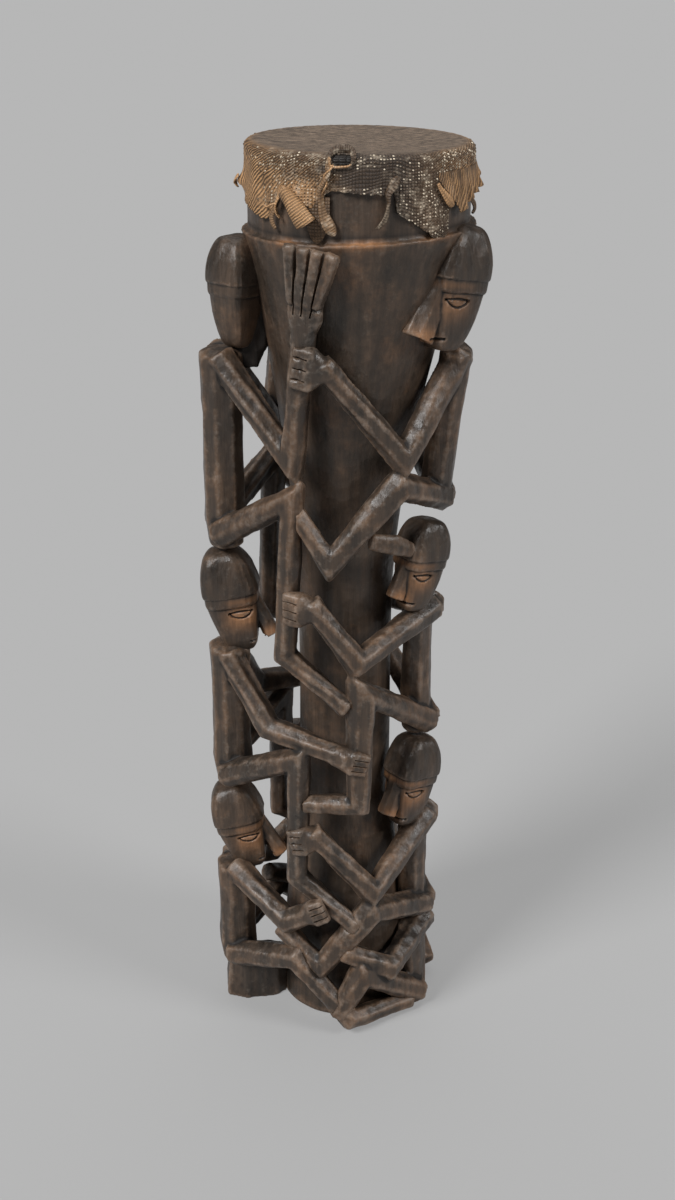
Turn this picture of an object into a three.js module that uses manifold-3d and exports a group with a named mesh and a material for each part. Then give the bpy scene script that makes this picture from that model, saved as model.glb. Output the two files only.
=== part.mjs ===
// A kundu drum: an hourglass shell with a lizard-skin head, set in an openwork cage of carved figures.
// Two columns of three crouching figures stand on opposite sides and face the shell. Their arms and legs
// reach round the shell, meet those of the other column and grip them.
// Millimetres, Z up. The shell's lower axis is the Z axis while the parts are made, and the viewer stands
// at -Y.
import * as THREE from "three";
import { mergeVertices } from "three/addons/utils/BufferGeometryUtils.js";
import Module from "manifold-3d";

const wasm = await Module();
wasm.setup();

// Driving sizes of the shell.
const drumHeight = 1100;
const neckShare = 0.082;
const ledgeHeight = drumHeight * (1 - neckShare);
const waistTopShare = 0.555;
const waistTop = ledgeHeight * waistTopShare;
const waistBottomShare = 0.297;
const waistBottom = ledgeHeight * waistBottomShare;
const coneTopRadius = 128;
const neckStep = 7;
const neckRadius = coneTopRadius - neckStep;
const ledgeBevel = 2;
const waistShare = 0.4375;
const waistRadius = coneTopRadius * waistShare;
const baseShare = 0.64;
const baseRadius = coneTopRadius * baseShare;
const rimWall = 13;
const waistWall = 18;
const leanShare = 0.11;
const topLean = coneTopRadius * leanShare;
const ledgeRise = 4;
const rimFall = 1.5;

// Driving sizes of the skin.
const skinThickness = 2.4;
const headSag = 3;
const rimRounding = 7;
const hemDrop = 32;
const rollRadius = 10;
const rollLength = 42;
const flapWidth = 60;
const flapLength = 50;
const stripWidth = 13;
const stripLength = 48;

// Driving sizes of the cage of figures.
const columnAngle = 80;
const cageShare = 0.86;
const cageRadius = coneTopRadius * cageShare;
const leftColumnShare = 1.29;
const leftColumnRadius = cageRadius * leftColumnShare;
const rightNeckShare = 1.127;
const rightNeckRadius = cageRadius * rightNeckShare;
const rightSeatShare = 0.945;
const rightSeatRadius = cageRadius * rightSeatShare;
const rightLowShare = 0.8;
const rightLowRadius = cageRadius * rightLowShare;
const armWidth = 30;
const armDepth = 27;
const legWidth = 31;
const legDepth = 28;
const torsoWidth = 44;
const leftTorsoDepth = 45;
const rightTorsoDepth = 34;
const palmThickness = 17;
const fingerCount = 4;
const fingerWidth = 7.6;
const fingerGap = 1.9;
const fingerThickness = 9;
const noseBoreShare = 0.45;
const eyeLength = 25;
const eyeHeight = 11;
const eyeStand = 2;
const webThickness = 20;
const webDepth = 44;
const shoulderDrop = 6;
const leftBlockWidth = 46;
const leftBlockStand = 16;
const leftBlockReach = leftColumnRadius + leftBlockStand;
const rightBlockWidth = 58;
const rightBlockStand = 20;
const rightBlockReach = rightLowRadius + rightBlockStand;
const leafWidth = 22;
const leafThickness = 10;

// Gap kept between a piece and its neighbours, and how far a cutting shape runs past what it cuts.
const clearance = 0.3;
const overrun = 4;
const groundDepth = 40;

// Finishes.
const darkWood = { color: 0x3d352f, roughness: 0.65 };
const wornWood = { color: 0x5b4536, roughness: 0.6 };
const drySkin = { color: 0x8c6d4c, roughness: 0.8 };

const degree = Math.PI / 180;
const skinTop = drumHeight - rimFall;
const zAxis = new THREE.Vector3(0, 0, 1);

// A point at an angle round the drum, a distance from its axis and a height.
// Angle 0 faces the viewer and grows towards the viewer's right.
function around(angle, radius, height) {
  const turn = angle * degree;
  return new THREE.Vector3(radius * Math.sin(turn), -radius * Math.cos(turn), height);
}

// Six times the volume that a list of faces encloses, negative when they face inwards.
function signedVolume(points, faces) {
  let sum = 0;
  for (let i = 0; i < faces.length; i += 3) {
    const [a, b, c] = [points[faces[i]], points[faces[i + 1]], points[faces[i + 2]]];
    sum += a.dot(b.clone().cross(c));
  }
  return sum;
}

// A closed geometry of points and faces, turned so that its faces point out.
function closed(points, faces) {
  if (signedVolume(points, faces) < 0) {
    faces.reverse();
  }
  const geometry = new THREE.BufferGeometry();
  const positions = points.flatMap((point) => point.toArray());
  geometry.setAttribute("position", new THREE.Float32BufferAttribute(positions, 3));
  geometry.setIndex(faces);
  return geometry;
}

// A solid skin through rings of points. Both ends are capped, or the last ring joins the first one.
function loft(rings, joined = false) {
  const count = rings[0].length;
  const faces = [];
  const steps = joined ? rings.length : rings.length - 1;
  for (let step = 0; step < steps; step += 1) {
    const low = step * count;
    const high = ((step + 1) % rings.length) * count;
    for (let i = 0; i < count; i += 1) {
      const next = (i + 1) % count;
      faces.push(low + i, low + next, high + next, low + i, high + next, high + i);
    }
  }
  if (!joined) {
    const last = (rings.length - 1) * count;
    for (let i = 1; i + 1 < count; i += 1) {
      faces.push(0, i + 1, i, last, last + i, last + i + 1);
    }
  }
  return closed(rings.flat(), faces);
}

// The solid of a closed geometry, for cutting and joining.
function solid(geometry) {
  const bare = geometry.clone();
  bare.deleteAttribute("normal");
  bare.deleteAttribute("uv");
  const merged = mergeVertices(bare);
  return new wasm.Manifold(new wasm.Mesh({
    numProp: 3,
    vertProperties: new Float32Array(merged.attributes.position.array),
    triVerts: new Uint32Array(merged.index.array),
  }));
}

// The geometry of a solid, with flat facets like those that an adze leaves.
function geometryOf(shape) {
  const mesh = shape.getMesh();
  const geometry = new THREE.BufferGeometry();
  geometry.setAttribute("position", new THREE.Float32BufferAttribute(mesh.vertProperties, 3));
  geometry.setIndex(Array.from(mesh.triVerts));
  return geometry;
}

function join(shapes) {
  return shapes.reduce((whole, shape) => whole.add(shape));
}

// Outlines of adzed bars: each corner is a share of the half width along the side and of the half depth
// outwards.
const bevelShare = 0.46;
const limbCornerShares = [[1, 0.1], [0.5, 1], [-0.5, 1], [-1, 0.1], [-0.6, -1], [0.6, -1]];
const fingerCornerShares = [[1, -1], [0.8, 1], [-0.8, 1], [-1, -1]];
const blockCornerShares = [
  [1, bevelShare], [bevelShare, 1], [-bevelShare, 1], [-1, bevelShare],
  [-1, -bevelShare], [-bevelShare, -1], [bevelShare, -1], [1, -bevelShare],
];
function facetRing(centre, side, out, halfWidth, halfDepth, cornerShares = blockCornerShares) {
  return cornerShares.map(([s, o]) => centre.clone()
    .addScaledVector(side, s * halfWidth)
    .addScaledVector(out, o * halfDepth));
}

// A bar through points, with a width and a depth at each of them and both ends run on. Blocks have
// bevelled ends. The depth lies away from the drum's axis, or along a given direction.
const endScaleShare = 0.6;
function bar(points, widths, depths, grow, runOn, cornerShares = blockCornerShares, outward = null) {
  const last = points.length - 1;
  const bevelled = cornerShares === blockCornerShares;
  const rings = [];
  const place = (index, along, scale) => {
    const before = points[Math.max(index - 1, 0)];
    const after = points[Math.min(index + 1, last)];
    const tangent = after.clone().sub(before).normalize();
    const centre = points[index].clone().addScaledVector(tangent, along);
    const out = outward ? outward.clone() : centre.clone().setZ(0);
    out.addScaledVector(tangent, -out.dot(tangent)).normalize();
    const side = tangent.clone().cross(out);
    const halfWidth = (widths[index] / 2) * scale + grow;
    const halfDepth = (depths[index] / 2) * scale + grow;
    rings.push(facetRing(centre, side, out, halfWidth, halfDepth, cornerShares));
  };
  if (bevelled) {
    place(0, -runOn - grow, endScaleShare);
  }
  place(0, bevelled ? -runOn / 2 : -runOn - grow, 1);
  for (let index = 1; index < last; index += 1) {
    place(index, 0, 1);
  }
  place(last, bevelled ? runOn / 2 : runOn + grow, 1);
  if (bevelled) {
    place(last, runOn + grow, endScaleShare);
  }
  return solid(loft(rings));
}

// A plain four-sided bar between two points, for fingers.
function prism(points, widths, depths, grow, outward) {
  const tangent = points[1].clone().sub(points[0]).normalize();
  const out = outward.clone().addScaledVector(tangent, -outward.dot(tangent)).normalize();
  const side = tangent.clone().cross(out);
  return solid(loft(points.map((point, i) => {
    const centre = point.clone().addScaledVector(tangent, (2 * i - 1) * grow);
    return facetRing(centre, side, out, widths[i] / 2 + grow, depths[i] / 2 + grow, fingerCornerShares);
  })));
}

// The shell.
// How far the axis has leant to the viewer's right at a height.
function leanAt(height) {
  const rise = Math.max(0, (height - waistTop) / (ledgeHeight - waistTop));
  return topLean * Math.min(rise, 1) ** 2;
}

// How much a level ring climbs towards the viewer's right for each unit of distance: the ledge, where the
// cone steps in to the neck, was cut slightly out of level, and the rim falls the other way.
function slopeAt(height) {
  if (height <= ledgeHeight) {
    return (ledgeRise / coneTopRadius) * Math.max(0, (height - waistTop) / (ledgeHeight - waistTop));
  }
  const rise = Math.min((height - ledgeHeight) / (skinTop - ledgeHeight), 1);
  return THREE.MathUtils.lerp(ledgeRise, -rimFall, rise) / coneTopRadius;
}

const coneCurve = 1.7;
function coneRadius(height) {
  if (height >= waistTop) {
    const rise = Math.min((height - waistTop) / (ledgeHeight - waistTop), 1);
    return waistRadius + (coneTopRadius - waistRadius) * rise ** coneCurve;
  }
  const drop = Math.max(0, (waistBottom - height) / waistBottom);
  return waistRadius + (baseRadius - waistRadius) * Math.sin((Math.PI / 2) * drop);
}

const shellSides = 36;
function shellRing(radius, height) {
  const ring = [];
  const centre = leanAt(height);
  const slope = slopeAt(height);
  for (let i = 0; i < shellSides; i += 1) {
    const point = around((360 * i) / shellSides, radius, height);
    ring.push(new THREE.Vector3(point.x + centre, point.y, point.z + slope * point.x));
  }
  return ring;
}

const coneStepShares = [0.12, 0.28, 0.43, 0.57, 0.7, 0.82, 0.92];
const footStepShares = [0.13, 0.3, 0.5, 0.75];
const rimHeight = skinTop - skinThickness - clearance;

// Heights at which the cone and the foot bend, from the floor up to the ledge's bevel.
function shellHeights() {
  const foot = footStepShares.map((share) => waistBottom * share);
  const cone = coneStepShares.map((share) => waistTop + (ledgeHeight - waistTop) * share);
  return [0, ...foot, waistBottom, waistTop, ...cone, ledgeHeight - ledgeBevel];
}

function shellOutside(grow) {
  const rings = shellHeights().map((height) => shellRing(coneRadius(height) + grow, height));
  rings.push(shellRing(coneTopRadius - ledgeBevel + grow, ledgeHeight + grow));
  rings.push(shellRing(neckRadius + grow, ledgeHeight + grow));
  rings.push(shellRing(neckRadius + grow, rimHeight - rimRounding + grow));
  rings.push(shellRing(neckRadius - rimRounding / 2 + grow, rimHeight + grow));
  return rings;
}

// The wall gets thinner from the waist to the rim, and again to the foot.
function boreRadius(height) {
  const up = Math.max(0, (height - waistTop) / (drumHeight - waistTop));
  const down = Math.max(0, (waistBottom - height) / waistBottom);
  const wall = waistWall + (rimWall - waistWall) * Math.max(up, down);
  return Math.min(coneRadius(height), neckRadius) - wall;
}

function shellInside() {
  const heights = shellHeights().filter((height, i) => i % 2 === 0 || height === waistBottom);
  const rings = heights.map((height) => shellRing(boreRadius(height), height));
  rings.push(shellRing(neckRadius - rimWall, rimHeight));
  return rings.reverse();
}

function drumShell() {
  return solid(loft([...shellOutside(0), ...shellInside()], true));
}

function shellCutter(grow) {
  return solid(loft(shellOutside(grow)));
}

// The skin: a shallow dish over the rim, a rounded edge and a skirt with a ragged hem of torn lobes.
// Each pair is a place on the way round, starting from the back over the left, and how far it hangs.
const hemShares = [
  [0, 1.3], [0.04, 1.7], [0.08, 1.1], [0.13, 1.45], [0.18, 1.1], [0.22, 1.35], [0.25, 1.15], [0.3, 1.6],
  [0.335, 2], [0.36, 1.75], [0.383, 1.25], [0.417, 1.45], [0.445, 1.4], [0.465, 1.1], [0.5, 1], [0.55, 1.1],
  [0.58, 1.8], [0.612, 2.7], [0.635, 2.3], [0.655, 1.4], [0.7, 1.9], [0.73, 1.2], [0.78, 1.5], [0.83, 1.1],
  [0.89, 1.6], [0.95, 1.05], [1, 1.3],
];
const skinSides = 2 * shellSides;

function hemShareAt(share) {
  const after = hemShares.findIndex(([place]) => place >= share);
  if (after <= 0) {
    return hemShares[0][1];
  }
  const [fromPlace, from] = hemShares[after - 1];
  const [toPlace, to] = hemShares[after];
  return from + ((to - from) * (share - fromPlace)) / (toPlace - fromPlace);
}

// A ring of the skin, so far under its top and hanging by its share of the hem's drop.
function skinRing(radius, drop, hangShare) {
  const ring = [];
  for (let i = 0; i < skinSides; i += 1) {
    const share = i / skinSides;
    const point = around(360 * share + 180, radius, skinTop - drop);
    const hang = hangShare * hemDrop * hemShareAt(share);
    const slope = slopeAt(skinTop - drop - hang) * point.x;
    ring.push(new THREE.Vector3(point.x + topLean, point.y, point.z + slope - hang));
  }
  return ring;
}

const dishShares = [0.3, 0.75, 1];
const hangShares = [0.5];
function headSkin() {
  const inner = neckRadius + clearance;
  const outer = inner + skinThickness;
  const flat = neckRadius - rimRounding;
  const shoulder = neckRadius - rimRounding / 2;
  const dish = dishShares.map((share) => [flat * share, headSag * (1 - share * share)]);
  const rings = dish.map(([radius, drop]) => skinRing(radius, drop, 0));
  rings.push(skinRing(shoulder + skinThickness / 2, skinThickness / 2, 0));
  rings.push(skinRing(outer, rimRounding, 0));
  for (const share of hangShares) {
    rings.push(skinRing(outer, rimRounding, share));
  }
  rings.push(skinRing(outer + clearance, rimRounding, 1));
  rings.push(skinRing(inner, rimRounding, 1));
  rings.push(skinRing(inner, rimRounding + skinThickness, 0));
  rings.push(skinRing(shoulder + clearance, skinThickness, 0));
  for (const [radius, drop] of dish.reverse()) {
    rings.push(skinRing(radius, drop + skinThickness, 0));
  }
  return solid(loft(rings));
}

// Where something sits on the skirt: an angle round the neck, a radius from its axis and a height.
function onNeck(angle, radius, height) {
  const point = around(angle, radius, height);
  return new THREE.Vector3(point.x + topLean, point.y, point.z + slopeAt(height) * point.x);
}

// A torn edge that has dried into a roll, lying against the hem: an open curl of skin.
const rollTurnShares = [0, 0.12, 0.24, 0.36, 0.48, 0.6, 0.72, 0.84];
const rollAngle = -34;
const rollDropShare = 1.2;
const rollSlant = 47;
function skinRoll() {
  const seat = neckRadius + 3 * clearance + skinThickness + rollRadius;
  const start = onNeck(rollAngle, seat, skinTop - hemDrop - rollRadius * rollDropShare);
  const out = start.clone().setZ(0).normalize();
  const level = zAxis.clone().cross(out);
  const along = level.multiplyScalar(Math.cos(rollSlant * degree));
  along.addScaledVector(zAxis, -Math.sin(rollSlant * degree));
  const side = along.clone().cross(out);
  const at = (share, radius, length) => start.clone()
    .addScaledVector(along, length)
    .addScaledVector(side, radius * Math.cos(2 * Math.PI * share))
    .addScaledVector(out, radius * Math.sin(2 * Math.PI * share));
  const hollow = rollRadius - skinThickness;
  return solid(loft(rollTurnShares.map((share) => [
    at(share, rollRadius, 0), at(share, rollRadius, rollLength),
    at(share, hollow, rollLength), at(share, hollow, 0),
  ])));
}

// The torn tongues: two narrow strips beside the middle and a wide flap at the right. Each starts at a
// share of the hem's drop, and its lower end swings out by a share of its length.
const tongueShares = [[0, 0.8], [0.35, 1], [0.7, 0.9], [1, 0.5]];
const stripAngles = [-15, 12];
const stripTopShare = 0.9;
const stripSwingShare = 0.08;
const flapAngle = 57;
const flapTopShare = 0.35;
const flapSwingShare = 0.25;

// A torn tongue of skin that hangs in front of the hem.
function skinTongue(angle, topShare, width, length, swingShare) {
  const seat = neckRadius + 3 * clearance + 1.5 * skinThickness;
  const top = onNeck(angle, seat, skinTop - rimRounding - hemDrop * topShare);
  const out = top.clone().setZ(0).normalize();
  const points = tongueShares.map(([share]) => top.clone()
    .addScaledVector(zAxis, -length * share)
    .addScaledVector(out, length * swingShare * share * share));
  const widths = tongueShares.map(([, widthShare]) => width * widthShare);
  const depths = tongueShares.map(() => skinThickness);
  return bar(points, widths, depths, 0, skinThickness, fingerCornerShares, out);
}

// The figures.
// Where a joint of a limb lies: a share of the way from its own column round to the other one,
// past the front or past the back, a share of the drum's height, and a share of the cage's radius.
const frontWay = 2 * columnAngle;
const backWay = 360 - frontWay;
const stretchStartShare = 0.25;
const stretchEndShare = 0.75;
function wayRound(side, share, behind) {
  const way = frontWay * share;
  if (!behind) {
    return side * (columnAngle - way);
  }
  const span = (share - stretchStartShare) / (stretchEndShare - stretchStartShare);
  const smooth = THREE.MathUtils.smoothstep(span, 0, 1);
  return side * (columnAngle + way + (backWay - frontWay) * smooth);
}

// Whether a limb laid straight from point to point stays clear of the shell.
function clearsShell(points) {
  return points.slice(1).every((point, i) => {
    const middle = points[i].clone().lerp(point, 0.5);
    const away = Math.hypot(middle.x - leanAt(middle.z), middle.y);
    return away > coneRadius(middle.z) + armDepth / 2 + clearance;
  });
}

// A joint of a limb as a point.
function jointPoint(side, joint, behind) {
  const [way, height, reach] = joint;
  return around(wayRound(side, way, behind), cageRadius * reach, drumHeight * height);
}

// The way over a stretch of limb: straight, or bent round the shell in as many steps as clear it.
const mostSteps = 4;
function stretchOf(side, from, to, behind) {
  const fromAngle = wayRound(side, from[0], behind);
  const toAngle = wayRound(side, to[0], behind);
  let points = [];
  for (let steps = 1; steps <= mostSteps; steps += 1) {
    points = [];
    for (let step = 0; step <= steps; step += 1) {
      const t = step / steps;
      const height = drumHeight * THREE.MathUtils.lerp(from[1], to[1], t);
      const radius = cageRadius * THREE.MathUtils.lerp(from[2], to[2], t);
      points.push(around(THREE.MathUtils.lerp(fromAngle, toAngle, t), radius, height));
    }
    if (clearsShell(points)) {
      break;
    }
  }
  return points;
}

// The outline of a limb at a point where it bends: mitred on the inside, blunter at the elbow's tip.
const elbowTipLimit = 1.55;
const mitreLimit = 3;
function elbowRing(centre, before, after, halfWidth, halfDepth) {
  const tangent = before.clone().add(after);
  const mitre = Math.min(2 / Math.max(tangent.length(), Number.EPSILON), mitreLimit);
  tangent.normalize();
  const out = centre.clone().setZ(0);
  out.addScaledVector(tangent, -out.dot(tangent)).normalize();
  const side = tangent.clone().cross(out);
  const tipSide = Math.sign(side.dot(before.clone().sub(after)));
  return limbCornerShares.map(([s, o]) => {
    const stretch = s * tipSide > 0 ? Math.min(mitre, elbowTipLimit) : mitre;
    return centre.clone()
      .addScaledVector(side, s * halfWidth * stretch)
      .addScaledVector(out, o * halfDepth);
  });
}

// A limb through its joints as one bar that tapers from joint to joint. Both of its ends run on by a share
// of the width.
const endRunShare = 0.36;
const taperShares = [1.08, 0.98, 0.86, 0.74];
function limb(side, joints, behind, width, depth, grow) {
  const points = [];
  const sizes = [];
  for (let joint = 0; joint + 1 < joints.length; joint += 1) {
    const stretch = stretchOf(side, joints[joint], joints[joint + 1], behind);
    stretch.slice(joint === 0 ? 0 : 1).forEach((point, i) => {
      const step = (joint === 0 ? i : i + 1) / (stretch.length - 1);
      points.push(point);
      sizes.push(THREE.MathUtils.lerp(taperShares[joint], taperShares[joint + 1], step));
    });
  }
  const ways = points.slice(1).map((point, i) => point.clone().sub(points[i]).normalize());
  const last = points.length - 1;
  const run = width * endRunShare + grow;
  return solid(loft(points.map((point, i) => {
    const before = ways[Math.max(i - 1, 0)];
    const after = ways[Math.min(i, last - 1)];
    const runOn = i === 0 ? -run : i === last ? run : 0;
    const centre = point.clone().addScaledVector(before, runOn);
    return elbowRing(centre, before, after, (width * sizes[i]) / 2 + grow, (depth * sizes[i]) / 2 + grow);
  })));
}

// A hand between its wrist and its fingertips: a flat palm and four fingers side by side. The hand is
// larger or smaller by a share of the common size, and the fingers spread by a share at the tips.
const palmEndShare = 0.5;
const fingerStartShare = 0.4;
const fingerRiseShare = 0.25;
function hand(wrist, tip, figure, grow) {
  const { spreadShare, handShare } = figure;
  const along = tip.clone().sub(wrist);
  const palmEnd = wrist.clone().addScaledVector(along, palmEndShare);
  const pitch = fingerWidth * handShare + fingerGap;
  const palmWidths = [armWidth * taperShares[2], fingerCount * pitch - fingerGap];
  const palmDepths = [palmThickness, palmThickness];
  const shapes = [bar([wrist, palmEnd], palmWidths, palmDepths, grow, clearance, limbCornerShares)];
  const out = wrist.clone().setZ(0).normalize();
  const side = along.clone().normalize().cross(out).normalize();
  for (let finger = 0; finger < fingerCount; finger += 1) {
    const offset = (finger - (fingerCount - 1) / 2) * pitch;
    const root = wrist.clone().addScaledVector(along, fingerStartShare).addScaledVector(side, offset);
    const end = tip.clone().addScaledVector(side, offset * (1 + spreadShare));
    root.addScaledVector(out, fingerThickness * fingerRiseShare);
    end.addScaledVector(out, -fingerThickness * fingerRiseShare);
    const widths = [pitch - fingerGap, pitch * (1 + spreadShare) - fingerGap];
    const depths = [palmThickness, fingerThickness];
    shapes.push(prism([root, end], widths, depths, grow, out));
  }
  return join(shapes);
}

function arm(figure, behind, grow) {
  const { side, armShares } = figure;
  const whole = limb(side, armShares.slice(0, -1), behind, armWidth, armDepth, grow);
  const [wrist, tip] = armShares.slice(-2).map((joint) => jointPoint(side, joint, behind));
  return whole.add(hand(wrist, tip, figure, grow));
}

function leg(figure, behind, grow) {
  return limb(figure.side, figure.legShares, behind, legWidth, legDepth, grow);
}

// The figures of both columns from the top down. side is -1 for the viewer's left and 1 for the right.
// Turns and tilts of the heads are in degrees; the other values are named sizes and shares. noseShares give
// the nose's tip ahead and up and its radius, as shares of the head's height.
const figures = [
  {
    name: "left_top", side: -1, crownShare: 0.906, chinShare: 0.793, seatShare: 0.592,
    neckRadius: leftColumnRadius, seatRadius: leftColumnRadius, torsoDepth: leftTorsoDepth,
    headShares: [0, 1.1], headTurn: -42, headTilt: 2, noseShares: [0.3, 0.1, 0.08],
    handShare: 1, spreadShare: 0.75,
    armShares: [[0.05, 0.785, 1.28], [0.3, 0.692, 1], [0.355, 0.825, 1.05], [0.395, 0.913, 1.18]],
    legShares: [[0.06, 0.607, 1.34], [0.3, 0.66, 1], [0.25, 0.479, 1], [0.48, 0.432, 0.98]],
  },
  {
    name: "left_middle", side: -1, crownShare: 0.579, chinShare: 0.465, seatShare: 0.306,
    neckRadius: leftColumnRadius, seatRadius: leftColumnRadius, torsoDepth: leftTorsoDepth,
    headShares: [0, 1.24], headTurn: 10, headTilt: 8, noseShares: [0.31, 0.08, 0.08],
    handShare: 0.75, spreadShare: 0,
    armShares: [[0.05, 0.452, 1.28], [0.19, 0.388, 1.1], [0.48, 0.371, 1.04], [0.575, 0.362, 1.15]],
    legShares: [[0.06, 0.316, 1.34], [0.32, 0.361, 1.02], [0.3, 0.207, 1.02], [0.52, 0.152, 0.98]],
  },
  {
    name: "left_bottom", side: -1, crownShare: 0.291, chinShare: 0.184, seatShare: 0.06,
    neckRadius: leftColumnRadius, seatRadius: leftColumnRadius, torsoDepth: leftTorsoDepth,
    headShares: [0, 1.22], headTurn: 10, headTilt: 12, noseShares: [0.34, 0.04, 0.085],
    handShare: 0.8, spreadShare: 0,
    armShares: [[0.05, 0.182, 1.28], [0.27, 0.146, 1.09], [0.355, 0.164, 1.06], [0.425, 0.176, 1.15]],
    legShares: [[0.06, 0.07, 1.32], [0.3, 0.097, 1.05], [0.52, 0.018, 1.02], [0.8, 0.013, 0.93]],
  },
  {
    name: "right_top", side: 1, crownShare: 0.911, chinShare: 0.794, seatShare: 0.636,
    neckRadius: rightNeckRadius, seatRadius: rightSeatRadius, torsoDepth: rightTorsoDepth,
    headShares: [0.085, 1.13], headTurn: 66, headTilt: 8, noseShares: [0.34, 0.17, 0.1],
    handShare: 1.3, spreadShare: 0,
    armShares: [[0.03, 0.785, 1.14], [0.29, 0.697, 1.02], [0.56, 0.796, 1.08], [0.665, 0.8, 1.19]],
    legShares: [[0.03, 0.64, 1], [0.3, 0.672, 1], [0.56, 0.591, 1], [0.73, 0.655, 1]],
  },
  {
    name: "right_middle", side: 1, crownShare: 0.618, chinShare: 0.52, seatShare: 0.366,
    neckRadius: rightLowRadius, seatRadius: rightLowRadius, torsoDepth: rightTorsoDepth,
    headShares: [0.1, 0.87], headTurn: 62, headTilt: 10, noseShares: [0.27, 0.12, 0.1],
    handShare: 1.1, spreadShare: 0,
    armShares: [[0.03, 0.508, 0.92], [0.46, 0.479, 1], [0.61, 0.54, 1.03], [0.715, 0.541, 1.16]],
    legShares: [[0.03, 0.374, 0.9], [0.45, 0.449, 1], [0.45, 0.307, 1], [0.63, 0.305, 1]],
  },
  {
    name: "right_bottom", side: 1, crownShare: 0.355, chinShare: 0.25, seatShare: 0.118,
    neckRadius: rightLowRadius, seatRadius: rightLowRadius, torsoDepth: rightTorsoDepth,
    headShares: [0.08, 0.8], headTurn: 62, headTilt: 10, noseShares: [0.27, 0.12, 0.1],
    handShare: 0.95, spreadShare: 0,
    armShares: [[0.03, 0.243, 0.92], [0.39, 0.189, 1], [0.61, 0.265, 1.03], [0.7, 0.257, 1.16]],
    legShares: [[0.03, 0.128, 0.92], [0.39, 0.167, 1], [0.6, 0.089, 1], [0.76, 0.121, 1]],
  },
];

// A torso stands upright in its column, widest at the shoulders.
// Each row is a share of the way from the seat to the shoulders, a share of the width and of the depth.
const torsoShares = [[0, 0.98, 0.84], [0.12, 1.08, 1], [0.45, 0.96, 0.94], [0.8, 1.05, 0.96], [1, 1.22, 1]];
function torso(figure, grow) {
  const seat = drumHeight * figure.seatShare;
  const neck = drumHeight * figure.chinShare - shoulderDrop;
  const points = torsoShares.map(([share]) => around(
    figure.side * columnAngle,
    THREE.MathUtils.lerp(figure.seatRadius, figure.neckRadius, share),
    THREE.MathUtils.lerp(seat, neck, share),
  ));
  const widths = torsoShares.map(([, width]) => torsoWidth * width);
  const depths = torsoShares.map(([, , depth]) => figure.torsoDepth * depth);
  return bar(points, widths, depths, grow, shoulderDrop + overrun);
}

// A head in its own frame, the crown up, the face towards +X, its chin on the origin.
// Each row of the profile is shares of the head's height: level, back, front and half its width.
const capShares = [
  [0.575, -0.27, 0.265, 0.235], [0.72, -0.26, 0.25, 0.225], [0.88, -0.21, 0.21, 0.19],
  [0.965, -0.14, 0.15, 0.13], [1, -0.05, 0.07, 0.07],
];
const faceShares = [
  [0, -0.07, 0.16, 0.1], [0.08, -0.13, 0.2, 0.14], [0.25, -0.2, 0.22, 0.18], [0.5, -0.245, 0.235, 0.205],
];
const browShares = [[0.475, -0.25, 0.25, 0.22], [0.58, -0.255, 0.25, 0.222]];
const noseRootShares = [0.17, 0.5];
const eyePlaceShares = [0.07, 0.4, 0.2];
function profileLoft(shares, height, grow) {
  const xAxis = new THREE.Vector3(1, 0, 0);
  const yAxis = new THREE.Vector3(0, 1, 0);
  const rings = shares.map(([level, back, front, half], index) => {
    const end = index === 0 ? -grow : index === shares.length - 1 ? grow : 0;
    const centre = new THREE.Vector3((height * (back + front)) / 2, 0, height * level + end);
    return facetRing(centre, xAxis, yAxis, (height * (front - back)) / 2 + grow, height * half + grow);
  });
  return solid(loft(rings));
}

const noseSides = 8;
function noseTube(height, tipShares, radius, from, runOn) {
  const root = new THREE.Vector3(height * noseRootShares[0], 0, height * noseRootShares[1]);
  const tip = new THREE.Vector3(height * tipShares[0], 0, height * tipShares[1]);
  const start = root.clone().lerp(tip, from);
  const way = tip.clone().sub(start);
  const length = way.length() + runOn;
  const tube = new THREE.CylinderGeometry(radius, radius, length, noseSides);
  const turn = new THREE.Quaternion().setFromUnitVectors(new THREE.Vector3(0, 1, 0), way.normalize());
  tube.translate(0, length / 2, 0);
  tube.applyQuaternion(turn);
  tube.translate(start.x, start.y, start.z);
  return solid(tube);
}

const boreStartShare = 0.72;
function headShape(height, noseShares, grow) {
  const radius = height * noseShares[2];
  const shapes = [
    profileLoft(faceShares, height, grow),
    profileLoft(browShares, height, grow),
    profileLoft(capShares, height, grow),
    noseTube(height, noseShares, radius + grow, 0, grow),
  ];
  for (const cheek of [-1, 1]) {
    const eye = new THREE.OctahedronGeometry(1);
    const [ahead, level, sideways] = eyePlaceShares.map((share) => height * share);
    eye.scale(eyeLength / 2, eyeStand + overrun, eyeHeight / 2);
    eye.translate(ahead, cheek * (sideways - overrun), level);
    shapes.push(solid(eye));
  }
  const whole = join(shapes);
  if (grow > 0) {
    return whole;
  }
  return whole.subtract(noseTube(height, noseShares, radius * noseBoreShare, boreStartShare, overrun));
}

function head(figure, grow) {
  const height = drumHeight * (figure.crownShare - figure.chinShare);
  const [way, reach] = figure.headShares;
  const angle = wayRound(figure.side, way, false);
  const chin = around(angle, cageRadius * reach, drumHeight * figure.chinShare);
  const place = new THREE.Matrix4().setPosition(chin);
  const inward = (angle + 90) * degree + figure.side * figure.headTurn * degree;
  const turn = new THREE.Matrix4().makeRotationZ(inward);
  const middle = new THREE.Matrix4().makeTranslation(0, 0, height / 2);
  const tilt = new THREE.Matrix4().makeRotationY(-figure.headTilt * degree);
  const back = new THREE.Matrix4().makeTranslation(0, 0, -height / 2);
  const matrix = place.multiply(turn).multiply(middle).multiply(tilt).multiply(back);
  return headShape(height, figure.noseShares, grow).transform(matrix.toArray());
}

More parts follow.
